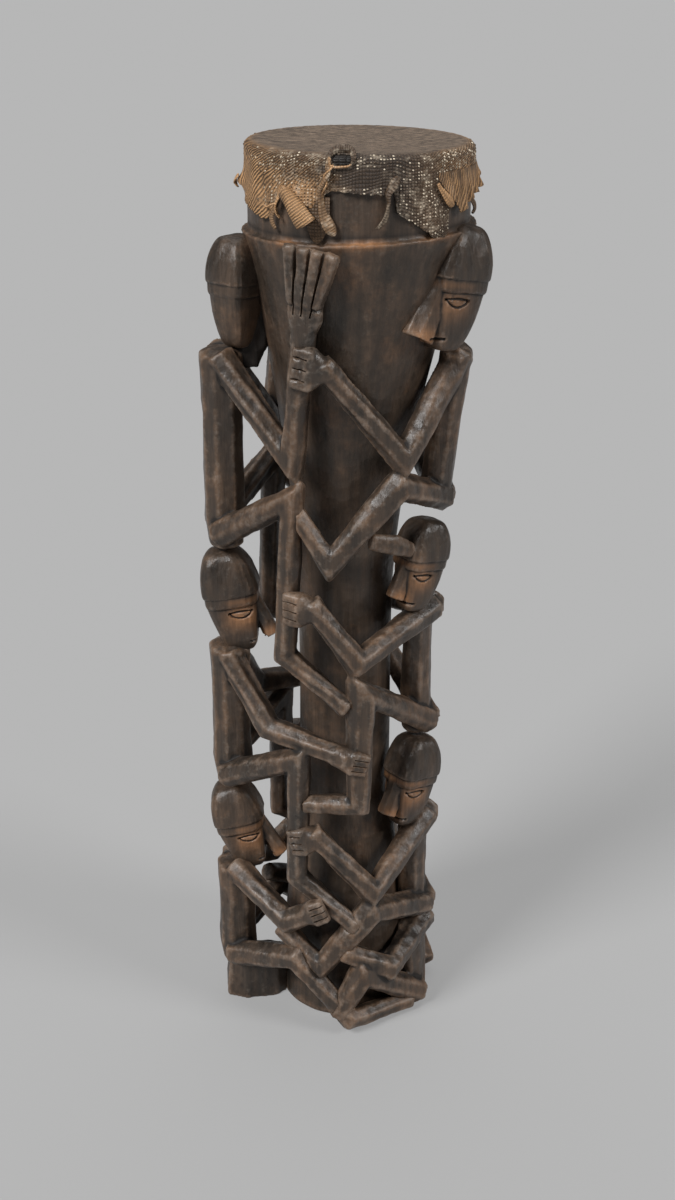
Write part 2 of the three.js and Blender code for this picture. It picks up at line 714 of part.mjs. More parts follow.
// Wood left standing between the top left head and the cone, with a ragged lower edge.
const webShares = [[0.78, 1.04, 0.7], [0.83, 0.98, 1], [0.9, 1.04, 1.1]];
function headWeb(grow) {
  const points = webShares.map(([height, reach]) => jointPoint(-1, [0, height, reach], false));
  const widths = webShares.map(() => webThickness);
  const depths = webShares.map(([, , depth]) => webDepth * depth);
  return bar(points, widths, depths, grow, clearance);
}

// Blocks of the log left standing at the foot, under the two columns.
const blockTaperShares = [1, 0.97, 0.9];
const blockSeatShare = 0.9;
function footBlock(angle, reach, width, top, grow) {
  const inner = baseRadius * blockSeatShare;
  const last = blockTaperShares.length - 1;
  const points = blockTaperShares.map((share, i) => around(angle, (inner + reach) / 2, (top * i) / last));
  const widths = blockTaperShares.map((share) => width * share);
  const depths = blockTaperShares.map((share) => (reach - inner) * share);
  return bar(points, widths, depths, grow, overrun);
}

const leftBlockTopShare = 0.052;
const rightBlockTopShare = 0.102;
const rightBlockWayShare = 0.045;

// The pair of limbs that rises from the right foot block, and a leaf-shaped tab above the middle figure.
const baseArm = { side: 1, legShares: [[0, 0.098, 0.92], [0.31, 0.079, 1], [0.48, 0.108, 0.98]] };
const baseLeg = { side: 1, legShares: [[0.13, 0.021, 0.95], [0.43, 0.083, 1.02], [0.515, 0.034, 1.01]] };
const leafShares = [[0.4, 0.612, 0.9], [0.29, 0.604, 0.91], [0.13, 0.583, 0.93]];
const leafWidthShares = [0.8, 1, 0.45];
function leaf(grow) {
  const points = leafShares.map((joint) => jointPoint(1, joint, false));
  const widths = leafWidthShares.map((share) => leafWidth * share);
  return bar(points, widths, points.map(() => leafThickness), grow, clearance);
}

// Every piece, in the order in which the later ones give way to the earlier ones.
const pieces = [];
function piece(name, finish, make, makeCutter = make) {
  pieces.push({ name, finish, shape: make(0), cutter: makeCutter(clearance) });
}

piece("head_skin", drySkin, headSkin);
piece("drum_shell", darkWood, drumShell, shellCutter);
piece("skin_roll", drySkin, skinRoll);
for (const [index, angle] of stripAngles.entries()) {
  piece(`skin_strip_${index + 1}`, drySkin, () => skinTongue(
    angle, stripTopShare, stripWidth, stripLength, stripSwingShare,
  ));
}
piece("skin_flap", drySkin, () => skinTongue(
  flapAngle, flapTopShare, flapWidth, flapLength, flapSwingShare,
));
piece("left_foot_block", darkWood, (grow) => footBlock(
  -columnAngle, leftBlockReach, leftBlockWidth, drumHeight * leftBlockTopShare, grow,
));
piece("right_foot_block", darkWood, (grow) => footBlock(
  wayRound(1, rightBlockWayShare, false), rightBlockReach, rightBlockWidth,
  drumHeight * rightBlockTopShare, grow,
));
for (const figure of figures) {
  piece(`${figure.name}_torso`, wornWood, (grow) => torso(figure, grow));
}
for (const figure of figures) {
  piece(`${figure.name}_head`, wornWood, (grow) => {
    const bare = head(figure, grow);
    return figure.name === "left_top" ? bare.add(headWeb(grow)) : bare;
  });
}
for (const figure of figures) {
  piece(`${figure.name}_front_leg`, wornWood, (grow) => leg(figure, false, grow));
  piece(`${figure.name}_back_leg`, wornWood, (grow) => leg(figure, true, grow));
}
for (const [name, base] of [["base_arm", baseArm], ["base_leg", baseLeg]]) {
  piece(`${name}_front`, wornWood, (grow) => leg(base, false, grow));
  piece(`${name}_back`, wornWood, (grow) => leg(base, true, grow));
}
for (const figure of figures) {
  piece(`${figure.name}_front_arm`, wornWood, (grow) => arm(figure, false, grow));
  piece(`${figure.name}_back_arm`, wornWood, (grow) => arm(figure, true, grow));
}
piece("leaf_tab", wornWood, leaf);

// Whether the boxes of two solids meet.
function near(one, other) {
  const [a, b] = [one.boundingBox(), other.boundingBox()];
  return [0, 1, 2].every((axis) => a.min[axis] <= b.max[axis] && b.min[axis] <= a.max[axis]);
}

// The largest body of a solid: a cut can leave a splinter behind.
function mainBody(shape) {
  return shape.decompose().reduce((best, body) => (body.volume() > best.volume() ? body : best));
}

// What lies under the floor is cut off.
const ground = solid(new THREE.BoxGeometry(2 * drumHeight, 2 * drumHeight, groundDepth)
  .translate(0, 0, -groundDepth / 2));

const drum = new THREE.Group();
pieces.forEach((item, index) => {
  let shape = item.shape;
  for (const earlier of pieces.slice(0, index)) {
    if (near(shape, earlier.cutter)) {
      shape = shape.subtract(earlier.cutter);
    }
  }
  shape = mainBody(shape.subtract(ground));
  const material = new THREE.MeshStandardMaterial({ ...item.finish, metalness: 0 });
  const mesh = new THREE.Mesh(geometryOf(shape), material);
  mesh.name = item.name;
  drum.add(mesh);
});

// The origin is under the middle of the whole drum, on the floor.
const box = new THREE.Box3().setFromObject(drum);
const middle = box.getCenter(new THREE.Vector3());
drum.position.set(-middle.x, -middle.y, -box.min.z);

export default drum;
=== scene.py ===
# A kundu drum: an hourglass drum cut from one log, with a lizard skin for its head. The shell stands in an
# openwork cage of crouching figures, carved from the same log, whose arms and legs reach round it and hold
# each other.
import math

import bmesh
import bpy
import numpy as np
from mathutils import Matrix, Vector


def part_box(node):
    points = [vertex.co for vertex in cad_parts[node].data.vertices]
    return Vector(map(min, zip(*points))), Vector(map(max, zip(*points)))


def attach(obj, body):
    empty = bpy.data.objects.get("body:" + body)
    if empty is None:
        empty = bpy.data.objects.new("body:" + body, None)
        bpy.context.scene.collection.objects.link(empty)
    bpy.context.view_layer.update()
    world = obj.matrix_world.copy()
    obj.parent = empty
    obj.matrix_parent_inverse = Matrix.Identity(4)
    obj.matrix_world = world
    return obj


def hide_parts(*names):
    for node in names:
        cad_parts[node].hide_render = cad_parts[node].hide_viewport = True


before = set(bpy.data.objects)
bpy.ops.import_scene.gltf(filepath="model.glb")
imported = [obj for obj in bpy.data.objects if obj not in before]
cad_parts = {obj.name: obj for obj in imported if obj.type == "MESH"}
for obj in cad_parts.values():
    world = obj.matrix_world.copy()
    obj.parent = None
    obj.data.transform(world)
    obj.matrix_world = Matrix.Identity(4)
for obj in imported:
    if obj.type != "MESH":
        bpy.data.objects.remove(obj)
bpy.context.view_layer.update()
scene = bpy.context.scene

# The view. The drum stands on a plain pale floor and is seen from the front and somewhat above. The place of
# the log's axis comes from the shell, which leans to the right at its top.
top_lean = 0.0141
shell_low, shell_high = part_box("drum_shell")
log_axis = Vector(((shell_low.x + shell_high.x) / 2 - top_lean, (shell_low.y + shell_high.y) / 2, 0.0))
camera_data = bpy.data.cameras.new("view")
camera_data.sensor_fit = "VERTICAL"
camera_data.sensor_height = 36.0
camera_data.lens = 46.32
camera_data.clip_end = 200.0
camera = bpy.data.objects.new("view", camera_data)
camera.location = log_axis + Vector((-0.0094, -1.7061, 1.3186))
camera.rotation_euler = (math.radians(66.0), 0.0, 0.0)
scene.collection.objects.link(camera)
scene.camera = camera
scene.view_settings.view_transform = "Standard"

# Soft light: a large lamp high at the left, a weaker one at the right, one from above behind, and an even
# grey room. The floor and the room show the same grey, and the floor keeps the drum's shadow.
room_grey = (0.462, 0.462, 0.462, 1.0)
room_white = (1.0, 1.0, 1.0, 1.0)
room_strength = 0.08
lamps = (
    ("left_light", 2.9, 20.0, (48.0, 0.0, -48.0)),
    ("right_light", 1.5, 20.0, (55.0, 0.0, 66.0)),
    ("top_light", 0.8, 50.0, (-22.0, 0.0, 0.0)),
)
for lamp_name, strength, spread, angles in lamps:
    lamp_data = bpy.data.lights.new(lamp_name, "SUN")
    lamp_data.energy = strength
    lamp_data.angle = math.radians(spread)
    lamp = bpy.data.objects.new(lamp_name, lamp_data)
    lamp.rotation_euler = [math.radians(angle) for angle in angles]
    scene.collection.objects.link(lamp)


class Wire:
    """The value on a node's socket. Arithmetic on it adds Math nodes."""

    def __init__(self, recipe, socket):
        self.recipe = recipe
        self.socket = socket

    def math(self, operation, other, flipped=False):
        sides = (other, self) if flipped else (self, other)
        return self.recipe.add("ShaderNodeMath", {"operation": operation}, {0: sides[0], 1: sides[1]})

    def __add__(self, other):
        return self.math("ADD", other)

    def __radd__(self, other):
        return self.math("ADD", other, True)

    def __sub__(self, other):
        return self.math("SUBTRACT", other)

    def __rsub__(self, other):
        return self.math("SUBTRACT", other, True)

    def __mul__(self, other):
        return self.math("MULTIPLY", other)

    def __rmul__(self, other):
        return self.math("MULTIPLY", other, True)

    def __truediv__(self, other):
        return self.math("DIVIDE", other)

    def __pow__(self, other):
        return self.math("POWER", other)

    def limited(self, low=0.0, high=1.0):
        return self.math("MAXIMUM", low).math("MINIMUM", high)

    def output(self, name):
        return Wire(self.recipe, self.socket.node.outputs[name])


class Recipe:
    """Nodes of one material, room or geometry tree."""

    def __init__(self, tree):
        self.tree = tree

    def add(self, kind, settings=None, inputs=None, output=0):
        node = self.tree.nodes.new(kind)
        for name, value in (settings or {}).items():
            if name == "stops":
                ramp = node.color_ramp
                while len(ramp.elements) < len(value):
                    ramp.elements.new(0.5)
                for element, (place, shade) in zip(ramp.elements, value):
                    element.position = place
                    element.color = (shade, shade, shade, 1.0)
            else:
                setattr(node, name, value)
        for name, value in (inputs or {}).items():
            if isinstance(value, Wire):
                self.tree.links.new(value.socket, node.inputs[name])
            else:
                node.inputs[name].default_value = value
        return Wire(self, node.outputs[output])

    def link(self, wire, node, name):
        self.tree.links.new(wire.socket, node.inputs[name])


def fresh_recipe(owner):
    owner.use_nodes = True
    owner.node_tree.nodes.clear()
    return Recipe(owner.node_tree)


world = bpy.data.worlds.new("room")
scene.world = world
recipe = fresh_recipe(world)
room_light = recipe.add("ShaderNodeBackground", {}, {"Color": room_white, "Strength": room_strength})
room_colour = recipe.add("ShaderNodeBackground", {}, {"Color": room_grey, "Strength": 1.0})
seen = recipe.add("ShaderNodeLightPath", output="Is Camera Ray")
mixed = recipe.add("ShaderNodeMixShader", {}, {0: seen, 1: room_light, 2: room_colour})
world_output = recipe.tree.nodes.new("ShaderNodeOutputWorld")
recipe.link(mixed, world_output, "Surface")

# The floor: a wide sheet of grey paper. Half of what the camera sees of it is the room's own grey, so that it
# meets the room without an edge and still carries the shadow.
paper_grey = (0.40, 0.40, 0.40, 1.0)
paper_glow = 0.5
floor_material = bpy.data.materials.new("floor_paper")
recipe = fresh_recipe(floor_material)
paper = recipe.add("ShaderNodeBsdfDiffuse", {}, {"Color": paper_grey})
glow = recipe.add("ShaderNodeEmission", {}, {"Color": room_grey, "Strength": 1.0})
seen = recipe.add("ShaderNodeLightPath", output="Is Camera Ray")
mixed = recipe.add("ShaderNodeMixShader", {}, {0: seen * paper_glow, 1: paper, 2: glow})
recipe.link(mixed, recipe.tree.nodes.new("ShaderNodeOutputMaterial"), "Surface")

floor_reach = 60.0
floor_mesh = bpy.data.meshes.new("floor")
floor_mesh.from_pydata(
    [(x * floor_reach, y * floor_reach, 0.0) for x, y in ((-1, -1), (1, -1), (1, 1), (-1, 1))],
    [], [(0, 1, 2, 3)],
)
floor_mesh.materials.append(floor_material)
floor = bpy.data.objects.new("floor", floor_mesh)
scene.collection.objects.link(floor)

# The shell: an hourglass tube turned out of the middle of the log by adze, fire and knife. It leans a little
# to the right above its waist, and a thin ledge goes round it under the neck that carries the skin.
drum_height = 1.1
ledge_height = 1.0098
waist_top = 0.5604
waist_bottom = 0.2999
neck_radius = 0.121
cone_top_radius = 0.128
waist_radius = 0.056
base_radius = 0.0819
rim_wall = 0.013
waist_wall = 0.018
ledge_rise = 0.004
rim_fall = 0.0015
skin_thickness = 0.0024
skin_clearance = 0.0003
rim_height = drum_height - rim_fall - skin_thickness - skin_clearance
rim_rounding = 0.007
flare_bend = 1.7
shell_sides = 221
adze_depth = 0.0016


def cone_radius(height):
    if height >= waist_top:
        rise = min((height - waist_top) / (ledge_height - waist_top), 1.0)
        return waist_radius + (cone_top_radius - waist_radius) * rise ** flare_bend
    drop = max(0.0, (waist_bottom - height) / waist_bottom)
    return waist_radius + (base_radius - waist_radius) * math.sin(math.pi / 2 * drop)


def bore_radius(height):
    up = max(0.0, (height - waist_top) / (drum_height - waist_top))
    down = max(0.0, (waist_bottom - height) / waist_bottom)
    wall = waist_wall + (rim_wall - waist_wall) * max(up, down)
    return min(cone_radius(height), neck_radius) - wall


def shell_profile():
    """Radius and height of the wall's section, up the outside, over the rim and down the bore."""
    rows = [(base_radius - 0.003, 0.0), (base_radius, 0.003)]
    rows += [(cone_radius(z), z) for z in np.linspace(0.007, ledge_height - 0.004, 238)]
    rows += [(cone_top_radius - 0.0002, ledge_height - 0.002)]
    rows += [(cone_top_radius - 0.001, ledge_height - 0.0006)]
    rows += [(cone_top_radius - 0.0025, ledge_height), (neck_radius + 0.002, ledge_height)]
    rows += [(neck_radius, ledge_height + 0.002)]
    rows += [(neck_radius, z) for z in np.linspace(ledge_height + 0.006, rim_height - rim_rounding, 22)]
    rows += [(neck_radius - rim_rounding / 2, rim_height), (neck_radius - rim_wall, rim_height)]
    rows += [(bore_radius(z), z) for z in np.linspace(rim_height - 0.01, 0.0, 70)]
    return rows


def new_object(name, mesh):
    thing = bpy.data.objects.new(name, mesh)
    scene.collection.objects.link(thing)
    return thing


def finished_mesh(thing, name):
    """The plain mesh that an object's modifiers give. The modifiers are removed."""
    graph = bpy.context.evaluated_depsgraph_get()
    mesh = bpy.data.meshes.new_from_object(thing.evaluated_get(graph))
    mesh.name = name
    thing.modifiers.clear()
    old = thing.data
    thing.data = mesh
    bpy.data.meshes.remove(old)
    return mesh


def geometry_tree(name, sizes):
    """A geometry tree with named inputs. Returns its recipe, its start and a wire for each input."""
    tree = bpy.data.node_groups.new(name, "GeometryNodeTree")
    tree.interface.new_socket("Geometry", in_out="INPUT", socket_type="NodeSocketGeometry")
    kinds = {int: "NodeSocketInt", float: "NodeSocketFloat", bpy.types.Material: "NodeSocketMaterial"}
    for label, value in sizes.items():
        tree.interface.new_socket(label, in_out="INPUT", socket_type=kinds[type(value)])
    tree.interface.new_socket("Geometry", in_out="OUTPUT", socket_type="NodeSocketGeometry")
    steps = Recipe(tree)
    start = steps.add("NodeGroupInput")
    return steps, start, {label: start.output(label) for label in sizes}


def grow_with(thing, tree, sizes):
    """Runs a geometry tree on an object, with each input set by its socket's identifier."""
    modifier = thing.modifiers.new(tree.name, "NODES")
    modifier.node_group = tree
    for item in tree.interface.items_tree:
        if item.in_out == "INPUT" and item.name in sizes:
            modifier[item.identifier] = sizes[item.name]


def end_tree(steps, geometry, material):
    """Every tree ends with its instances made real and its material set."""
    real = steps.add("GeometryNodeRealizeInstances", {}, {"Geometry": geometry})
    painted = steps.add("GeometryNodeSetMaterial", {}, {"Geometry": real, "Material": material})
    steps.link(painted, steps.tree.nodes.new("NodeGroupOutput"), "Geometry")


def split(recipe, vector):
    return recipe.add("ShaderNodeSeparateXYZ", {}, {"Vector": vector})


def noise(recipe, where, scale, detail, roughness=0.5):
    return recipe.add("ShaderNodeTexNoise", {}, {
        "Vector": where, "Scale": scale, "Detail": detail, "Roughness": roughness,
    })


def turned_tree():
    """Turns a section, whose points are radius and height, round the log's axis."""
    sizes = {
        "Sides": 3, "Rows": 3, "Waist height": 0.0, "Ledge height": 0.0, "Rim height": 0.0, "Lean": 0.0,
        "Rise": 0.0, "Fall": 0.0, "Cut depth": 0.0, "Axis X": 0.0, "Axis Y": 0.0, "Material": shell_wood,
    }
    steps, start, wires = geometry_tree("turned_shell", sizes)
    grid = steps.add("GeometryNodeMeshGrid", {}, {
        "Size X": 1.0, "Size Y": 1.0, "Vertices X": wires["Sides"], "Vertices Y": wires["Rows"],
    })
    place = steps.add("GeometryNodeInputPosition")
    across = split(steps, place)
    turn = (across + 0.5) * (2 * math.pi)
    row = (across.output("Y") + 0.5) * (wires["Rows"] - 1.0)
    sampled = steps.add(
        "GeometryNodeSampleIndex", {"data_type": "FLOAT_VECTOR", "domain": "POINT"},
        {"Geometry": start, "Value": place, "Index": row.math("ROUND", 0.0)},
    )
    radius = split(steps, sampled)
    outside = radius.output("Y")
    height = radius.output("Z")
    # Long shallow scoops, as the adze leaves them.
    sine = turn.math("SINE", 0.0)
    cosine = turn.math("COSINE", 0.0)
    strokes = steps.add("ShaderNodeCombineXYZ", {}, {
        "X": sine * radius * 42.0, "Y": cosine * radius * 42.0, "Z": height * 8.0,
    })
    scoop = steps.add("ShaderNodeTexVoronoi", {}, {"Vector": strokes, "Scale": 1.0})
    wave = noise(steps, strokes, 0.45, 2.0)
    cut = outside * wires["Cut depth"] * ((scoop - 0.55) * 0.55 + (wave - 0.5) * 1.6)
    finished = radius + cut
    rise = ((height - wires["Waist height"]) / (wires["Ledge height"] - wires["Waist height"])).limited()
    x = sine * finished
    neck = ((height - wires["Ledge height"]) / (wires["Rim height"] - wires["Ledge height"])).limited()
    level = height + x * (wires["Rise"] * rise - (wires["Rise"] + wires["Fall"]) * neck)
    point = steps.add("ShaderNodeCombineXYZ", {}, {
        "X": x + wires["Axis X"] + wires["Lean"] * rise * rise,
        "Y": wires["Axis Y"] - cosine * finished, "Z": level,
    })
    shaped = steps.add("GeometryNodeSetPosition", {}, {"Geometry": grid, "Position": point})
    closed = steps.add("GeometryNodeMergeByDistance", {}, {"Geometry": shaped, "Distance": 0.00005})
    end_tree(steps, closed, wires["Material"])
    return steps.tree


def scaled(recipe, vector, scale):
    return recipe.add("ShaderNodeVectorMath", {"operation": "SCALE"}, {0: vector, "Scale": scale})


def mark(recipe, name):
    """The number that a mesh stores for each point under a name."""
    return recipe.add("ShaderNodeAttribute", {"attribute_name": name}, output="Fac")


def blend(recipe, share, under, over):
    return recipe.add("ShaderNodeMix", {"data_type": "RGBA"}, {0: share, 6: under, 7: over}, 2)


def paint(recipe, colour, rough, relief, strength, depth, gloss=0.5):
    """Ends a material's recipe: a surface of a colour and roughness, with a fine relief."""
    bump = recipe.add("ShaderNodeBump", {}, {"Height": relief, "Strength": strength, "Distance": depth})
    surface = recipe.add("ShaderNodeBsdfPrincipled", {}, {
        "Base Color": colour, "Roughness": rough, "Normal": bump, "Specular IOR Level": gloss,
    })
    recipe.link(surface, recipe.tree.nodes.new("ShaderNodeOutputMaterial"), "Surface")


bare_wood = (0.30, 0.145, 0.065)
# Near black, for the painted shade in the wood's hollows.
shade_black = (0.008, 0.006, 0.005)


def smoked_wood(name, dark, brown, worn, dust_and_sheen, shine, wear_reach, shade_strength):
    """Wood of the log, smoked and handled: long grain, darker and browner clouds, wear to red-brown where the
    surface stands proud, dust with a painted sheen on its edges, painted shade in its hollows, and bare
    orange wood by the attribute of that name."""
    material = bpy.data.materials.new(name)
    recipe = fresh_recipe(material)
    place = recipe.add("ShaderNodeTexCoord", output="Object")
    along = recipe.add("ShaderNodeMapping", {}, {"Vector": place, "Scale": (1.0, 1.0, 0.07)})
    grain = noise(recipe, along, 330.0, 5.0, 0.6)
    streak = noise(recipe, along, 75.0, 4.0)
    cloud = noise(recipe, place, 13.0, 5.0, 0.62)
    patch = noise(recipe, place, 47.0, 4.0, 0.65)
    dirt = noise(recipe, place, 210.0, 4.0, 0.7)
    flats = recipe.add("ShaderNodeTexVoronoi", {}, {"Vector": place, "Scale": 80.0})
    edge, bare = mark(recipe, "edge"), mark(recipe, "bare")
    browner = recipe.add("ShaderNodeValToRGB", {"stops": ((0.36, 0.0), (0.7, 1.0))}, {
        "Fac": cloud * 0.6 + streak * 0.4,
    })
    # Painted shade: the hollows, where the edge mark is low, are blended towards near black.
    hollow_shade = ((0.48 - edge) * shade_strength).limited(0.0, 0.9)
    colour = (*dark, 1.0)
    for share, over in (
        (browner, brown),
        ((edge - (1.0 - wear_reach)) * 1.6 + (patch - 0.5) * 1.5 + (cloud - 0.5) * 2.0, worn),
        (bare * 1.3 + (patch - 0.55) * 1.4 * bare + (edge - 0.5) * 0.5 * bare, bare_wood),
        # Dust with a painted sheen: the edges, where the edge mark is high, are blended towards a pale grey.
        ((edge - 0.66) * 0.8 + (dirt - 0.5) * 1.3 + (patch - 0.55) * 0.9, dust_and_sheen),
        (hollow_shade, shade_black),
    ):
        colour = blend(recipe, share.limited(0.0, 0.92), colour, (*over, 1.0))
    shade = (grain * 1.1 + 0.45) * (streak * 1.1 + 0.45) * (patch * 0.5 + 0.75)
    rough = shine + (dirt - 0.5) * 0.4 + (grain - 0.5) * 0.3 + (cloud - 0.5) * 0.5 + hollow_shade * 0.3
    relief = grain * 0.6 + dirt * 0.25 + patch * 0.4 + flats * 1.0
    paint(recipe, scaled(recipe, colour, shade), rough.math("MINIMUM", 0.95), relief, 0.75, 0.0012)
    return material


def arrays_of(mesh):
    points = np.empty(len(mesh.vertices) * 3, np.float32)
    mesh.vertices.foreach_get("co", points)
    normals = np.empty(len(mesh.vertices) * 3, np.float32)
    mesh.vertex_normals.foreach_get("vector", normals)
    return points.reshape(-1, 3).astype(float), normals.reshape(-1, 3).astype(float)


def set_points(mesh, points):
    mesh.vertices.foreach_set("co", points.astype(np.float32).ravel())
    mesh.update()


def relaxed(mesh, points, times):
    """Each point drawn to the middle of its neighbours, several times."""
    edges = np.empty(len(mesh.edges) * 2, np.int32)
    mesh.edges.foreach_get("vertices", edges)
    one, two = edges.reshape(-1, 2).T
    count = np.bincount(edges, minlength=len(points)).reshape(-1, 1)
    for _ in range(times):
        total = np.stack([
            np.bincount(one, points[two, axis], len(points))
            + np.bincount(two, points[one, axis], len(points))
            for axis in range(3)
        ], 1)
        points = 0.4 * points + 0.6 * total / np.maximum(count, 1)
    return points


def store_mark(mesh, name, values):
    """Stores a number for each point under a name that a material reads."""
    layer = mesh.attributes.get(name) or mesh.attributes.new(name, "FLOAT", "POINT")
    layer.data.foreach_set("value", values.astype(np.float32))


def mark_edges(mesh, reach, steps=14):
    """Stores how far each point stands proud of its surroundings: 0 in a hollow, 1 on an edge."""
    points, normals = arrays_of(mesh)
    proud = ((points - relaxed(mesh, points, steps)) * normals).sum(1) / reach
    store_mark(mesh, "edge", np.clip(0.5 + proud, 0.0, 1.0))


def smooth_shaded(mesh):
    mesh.polygons.foreach_set("use_smooth", np.ones(len(mesh.polygons), bool))
    mesh.update()


shell_wood = smoked_wood(
    "shell_wood", (0.034, 0.025, 0.018), (0.085, 0.053, 0.034), (0.150, 0.078, 0.040), (0.130, 0.112, 0.092),
    0.5, 0.36, 1.6,
)
profile_rows = shell_profile()
inner_start = profile_rows.index((neck_radius - rim_wall, rim_height))
profile_mesh = bpy.data.meshes.new("shell_section")
closed_rows = profile_rows + profile_rows[:1]
profile_mesh.from_pydata(
    [(r, 1.0 if i < inner_start - 1 else 0.0, z) for i, (r, z) in enumerate(closed_rows)], [], [],
)
shell = new_object("shell_wall", profile_mesh)
grow_with(shell, turned_tree(), {
    "Sides": shell_sides, "Rows": len(closed_rows), "Waist height": waist_top, "Ledge height": ledge_height,
    "Rim height": rim_height, "Lean": top_lean, "Rise": ledge_rise / cone_top_radius,
    "Fall": rim_fall / cone_top_radius, "Cut depth": adze_depth,
    "Axis X": log_axis.x, "Axis Y": log_axis.y, "Material": shell_wood,
})
shell_mesh = finished_mesh(shell, "shell_wall")
edge_reach = 0.0016
mark_edges(shell_mesh, edge_reach)
smooth_shaded(shell_mesh)

# The ledge is chipped all round, and scraped to bare wood in three places at the front, each given by its
# angle, its width and how bare it is.
scrapes = ((1, 11, 1.0), (-38, 5, 1.0), (40, 9, 0.5))
chip_depth, chip_reach, wave_depth, wave_reach = 0.0013, 0.0035, 0.0004, 0.006
scrape_drop, scrape_reach = 0.001, 0.003
points, normals = arrays_of(shell_mesh)
from_axis = points[:, :2] - (log_axis.x + top_lean, log_axis.y)
ledge_turn = np.degrees(np.arctan2(from_axis[:, 0], -from_axis[:, 1]))
under_ledge = points[:, 2] - ledge_height - from_axis[:, 0] * ledge_rise / cone_top_radius
outer = np.hypot(*from_axis.T) > neck_radius - 0.0015
chips = np.sin(ledge_turn * 0.61) + np.sin(ledge_turn * 0.37 + 2) + np.sin(ledge_turn * 1.3) * 0.6
chips = np.maximum(chips - 0.7, 0) * np.exp(-(under_ledge / chip_reach) ** 2)
waves = np.sin(ledge_turn * 0.9)
cut = outer * (chip_depth * chips + wave_depth * waves) * np.exp(-(under_ledge / wave_reach) ** 2)
set_points(shell_mesh, points - normals * cut[:, None])
# The edge mark is raised along the ledge, which keeps the painted shade of the hollows off the ledge.
proud_marks = np.empty(len(points), np.float32)
shell_mesh.attributes["edge"].data.foreach_get("value", proud_marks)
store_mark(shell_mesh, "edge", np.maximum(proud_marks, 0.6 * (np.abs(under_ledge) < 0.004) * outer))
scraped = sum(share * np.exp(-((ledge_turn - turn) / width) ** 2) for turn, width, share in scrapes)
scraped = scraped * np.exp(-((under_ledge + scrape_drop) / scrape_reach) ** 2) * outer
store_mark(shell_mesh, "bare", np.clip(scraped, 0, 1))
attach(shell, "root")
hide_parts("drum_shell")

# The skin: a lizard's, dried hard over the rim and glued down the neck. Its hem is torn into lobes, and there
# is a hole at the front of the rim. Bead scales cover it in rows, which join into fine ribs at the sides.
skin_sides = 480
skin_stand = 0.0028
sheet_thickness = 0.0015
head_sag = 0.003
scale_pitch = 0.0034
scale_columns = 231
scale_rows = 27
skin_top = drum_height - rim_fall
neck_axis = log_axis + Vector((top_lean, 0.0, 0.0))
dish_radius = neck_radius - rim_rounding
half_shoulder = rim_rounding * math.pi / 4

# How far the hem hangs under the rim by the angle round the neck from the front, in millimetres and degrees.
hem_drops = (
    (-180, 44), (-168, 54), (-158, 42), (-146, 38), (-134, 50), (-124, 44), (-112, 40), (-104, 46),
    (-97, 40), (-92, 40), (-88, 44), (-84, 46), (-80, 49), (-74, 54), (-66, 60), (-58, 67), (-52, 69),
    (-48, 63), (-44, 50), (-40, 34), (-38.5, 31), (-37.5, 36), (-36, 44), (-32, 43), (-28, 48), (-23, 54),
    (-20, 54), (-18.5, 48), (-17, 38), (-14, 36), (-6, 37), (0, 38), (9, 40), (13, 39), (14.5, 31),
    (15.6, 34), (16.4, 46), (17.4, 59), (20, 63), (24.4, 69), (28, 74), (32, 80), (37, 89), (41, 95),
    (44, 95.5), (46.4, 90), (47.6, 72), (48.6, 50), (50, 40), (57, 42), (66, 44), (78, 42), (86, 40),
    (92, 48), (100, 44), (112, 52), (124, 42), (138, 48), (150, 40), (165, 50), (180, 44),
)
# Swellings and dents of the skirt: angle and how wide, drop and how long, and how far it stands out.
skirt_bumps = (
    (-68, 15, 62, 24, 5.0), (-89, 4.5, 41, 8, 7.0), (-80, 4, 30, 12, -1.6), (-37, 2.4, 14, 14, 3.2),
    (-40, 3, 34, 8, 2.6), (-29, 8, 46, 14, 4.2), (-52, 3, 20, 20, 1.2), (-9, 9, 4, 5, 1.6),
    (0, 14, 38, 4, 2.0), (8, 4, 22, 9, 1.2), (24, 5, 40, 30, 1.4), (38, 9, 74, 20, 3.4),
    (44, 3, 90, 9, 1.5), (60, 12, 40, 16, 2.6), (75, 5, 22, 12, 1.4), (104, 7, 44, 12, 3.0),
    (128, 9, 40, 12, 2.0), (152, 8, 42, 14, 3.0), (-112, 7, 40, 12, 2.4), (-134, 8, 46, 12, 3.0),
    (-166, 8, 48, 14, 3.4),
)
hole_angle, hole_level = -9.0, 2.5
hole_half_angle, hole_half_level = 5.2, 7.6


def eased(value, start, end):
    """0 before start, 1 past end, and a smooth way between them."""
    share = np.clip((value - start) / (end - start), 0.0, 1.0)
    return share * share * (3 - 2 * share)


def ripple(angle, level):
    """Small unevenness of dried skin, in millimetres."""
    turn = np.radians(angle)
    return (
        np.sin(turn * 17 + level * 0.05) * 0.35 + np.sin(turn * 31 - level * 0.11 + 1.3) * 0.22
        + np.sin(turn * 53 + level * 0.21 + 0.4) * 0.12 + np.sin(turn * 8 + level * 0.17) * 0.2
    )


def skirt_stand(angle, drop):
    """How far the skirt stands out of its plain round form, in millimetres."""
    stand = ripple(angle, drop) * eased(drop, 2, 25) * 1.6
    for centre, width, level, reach, height in skirt_bumps:
        stand = stand + height * np.exp(-((angle - centre) / width) ** 2 - ((drop - level) / reach) ** 2)
    return stand


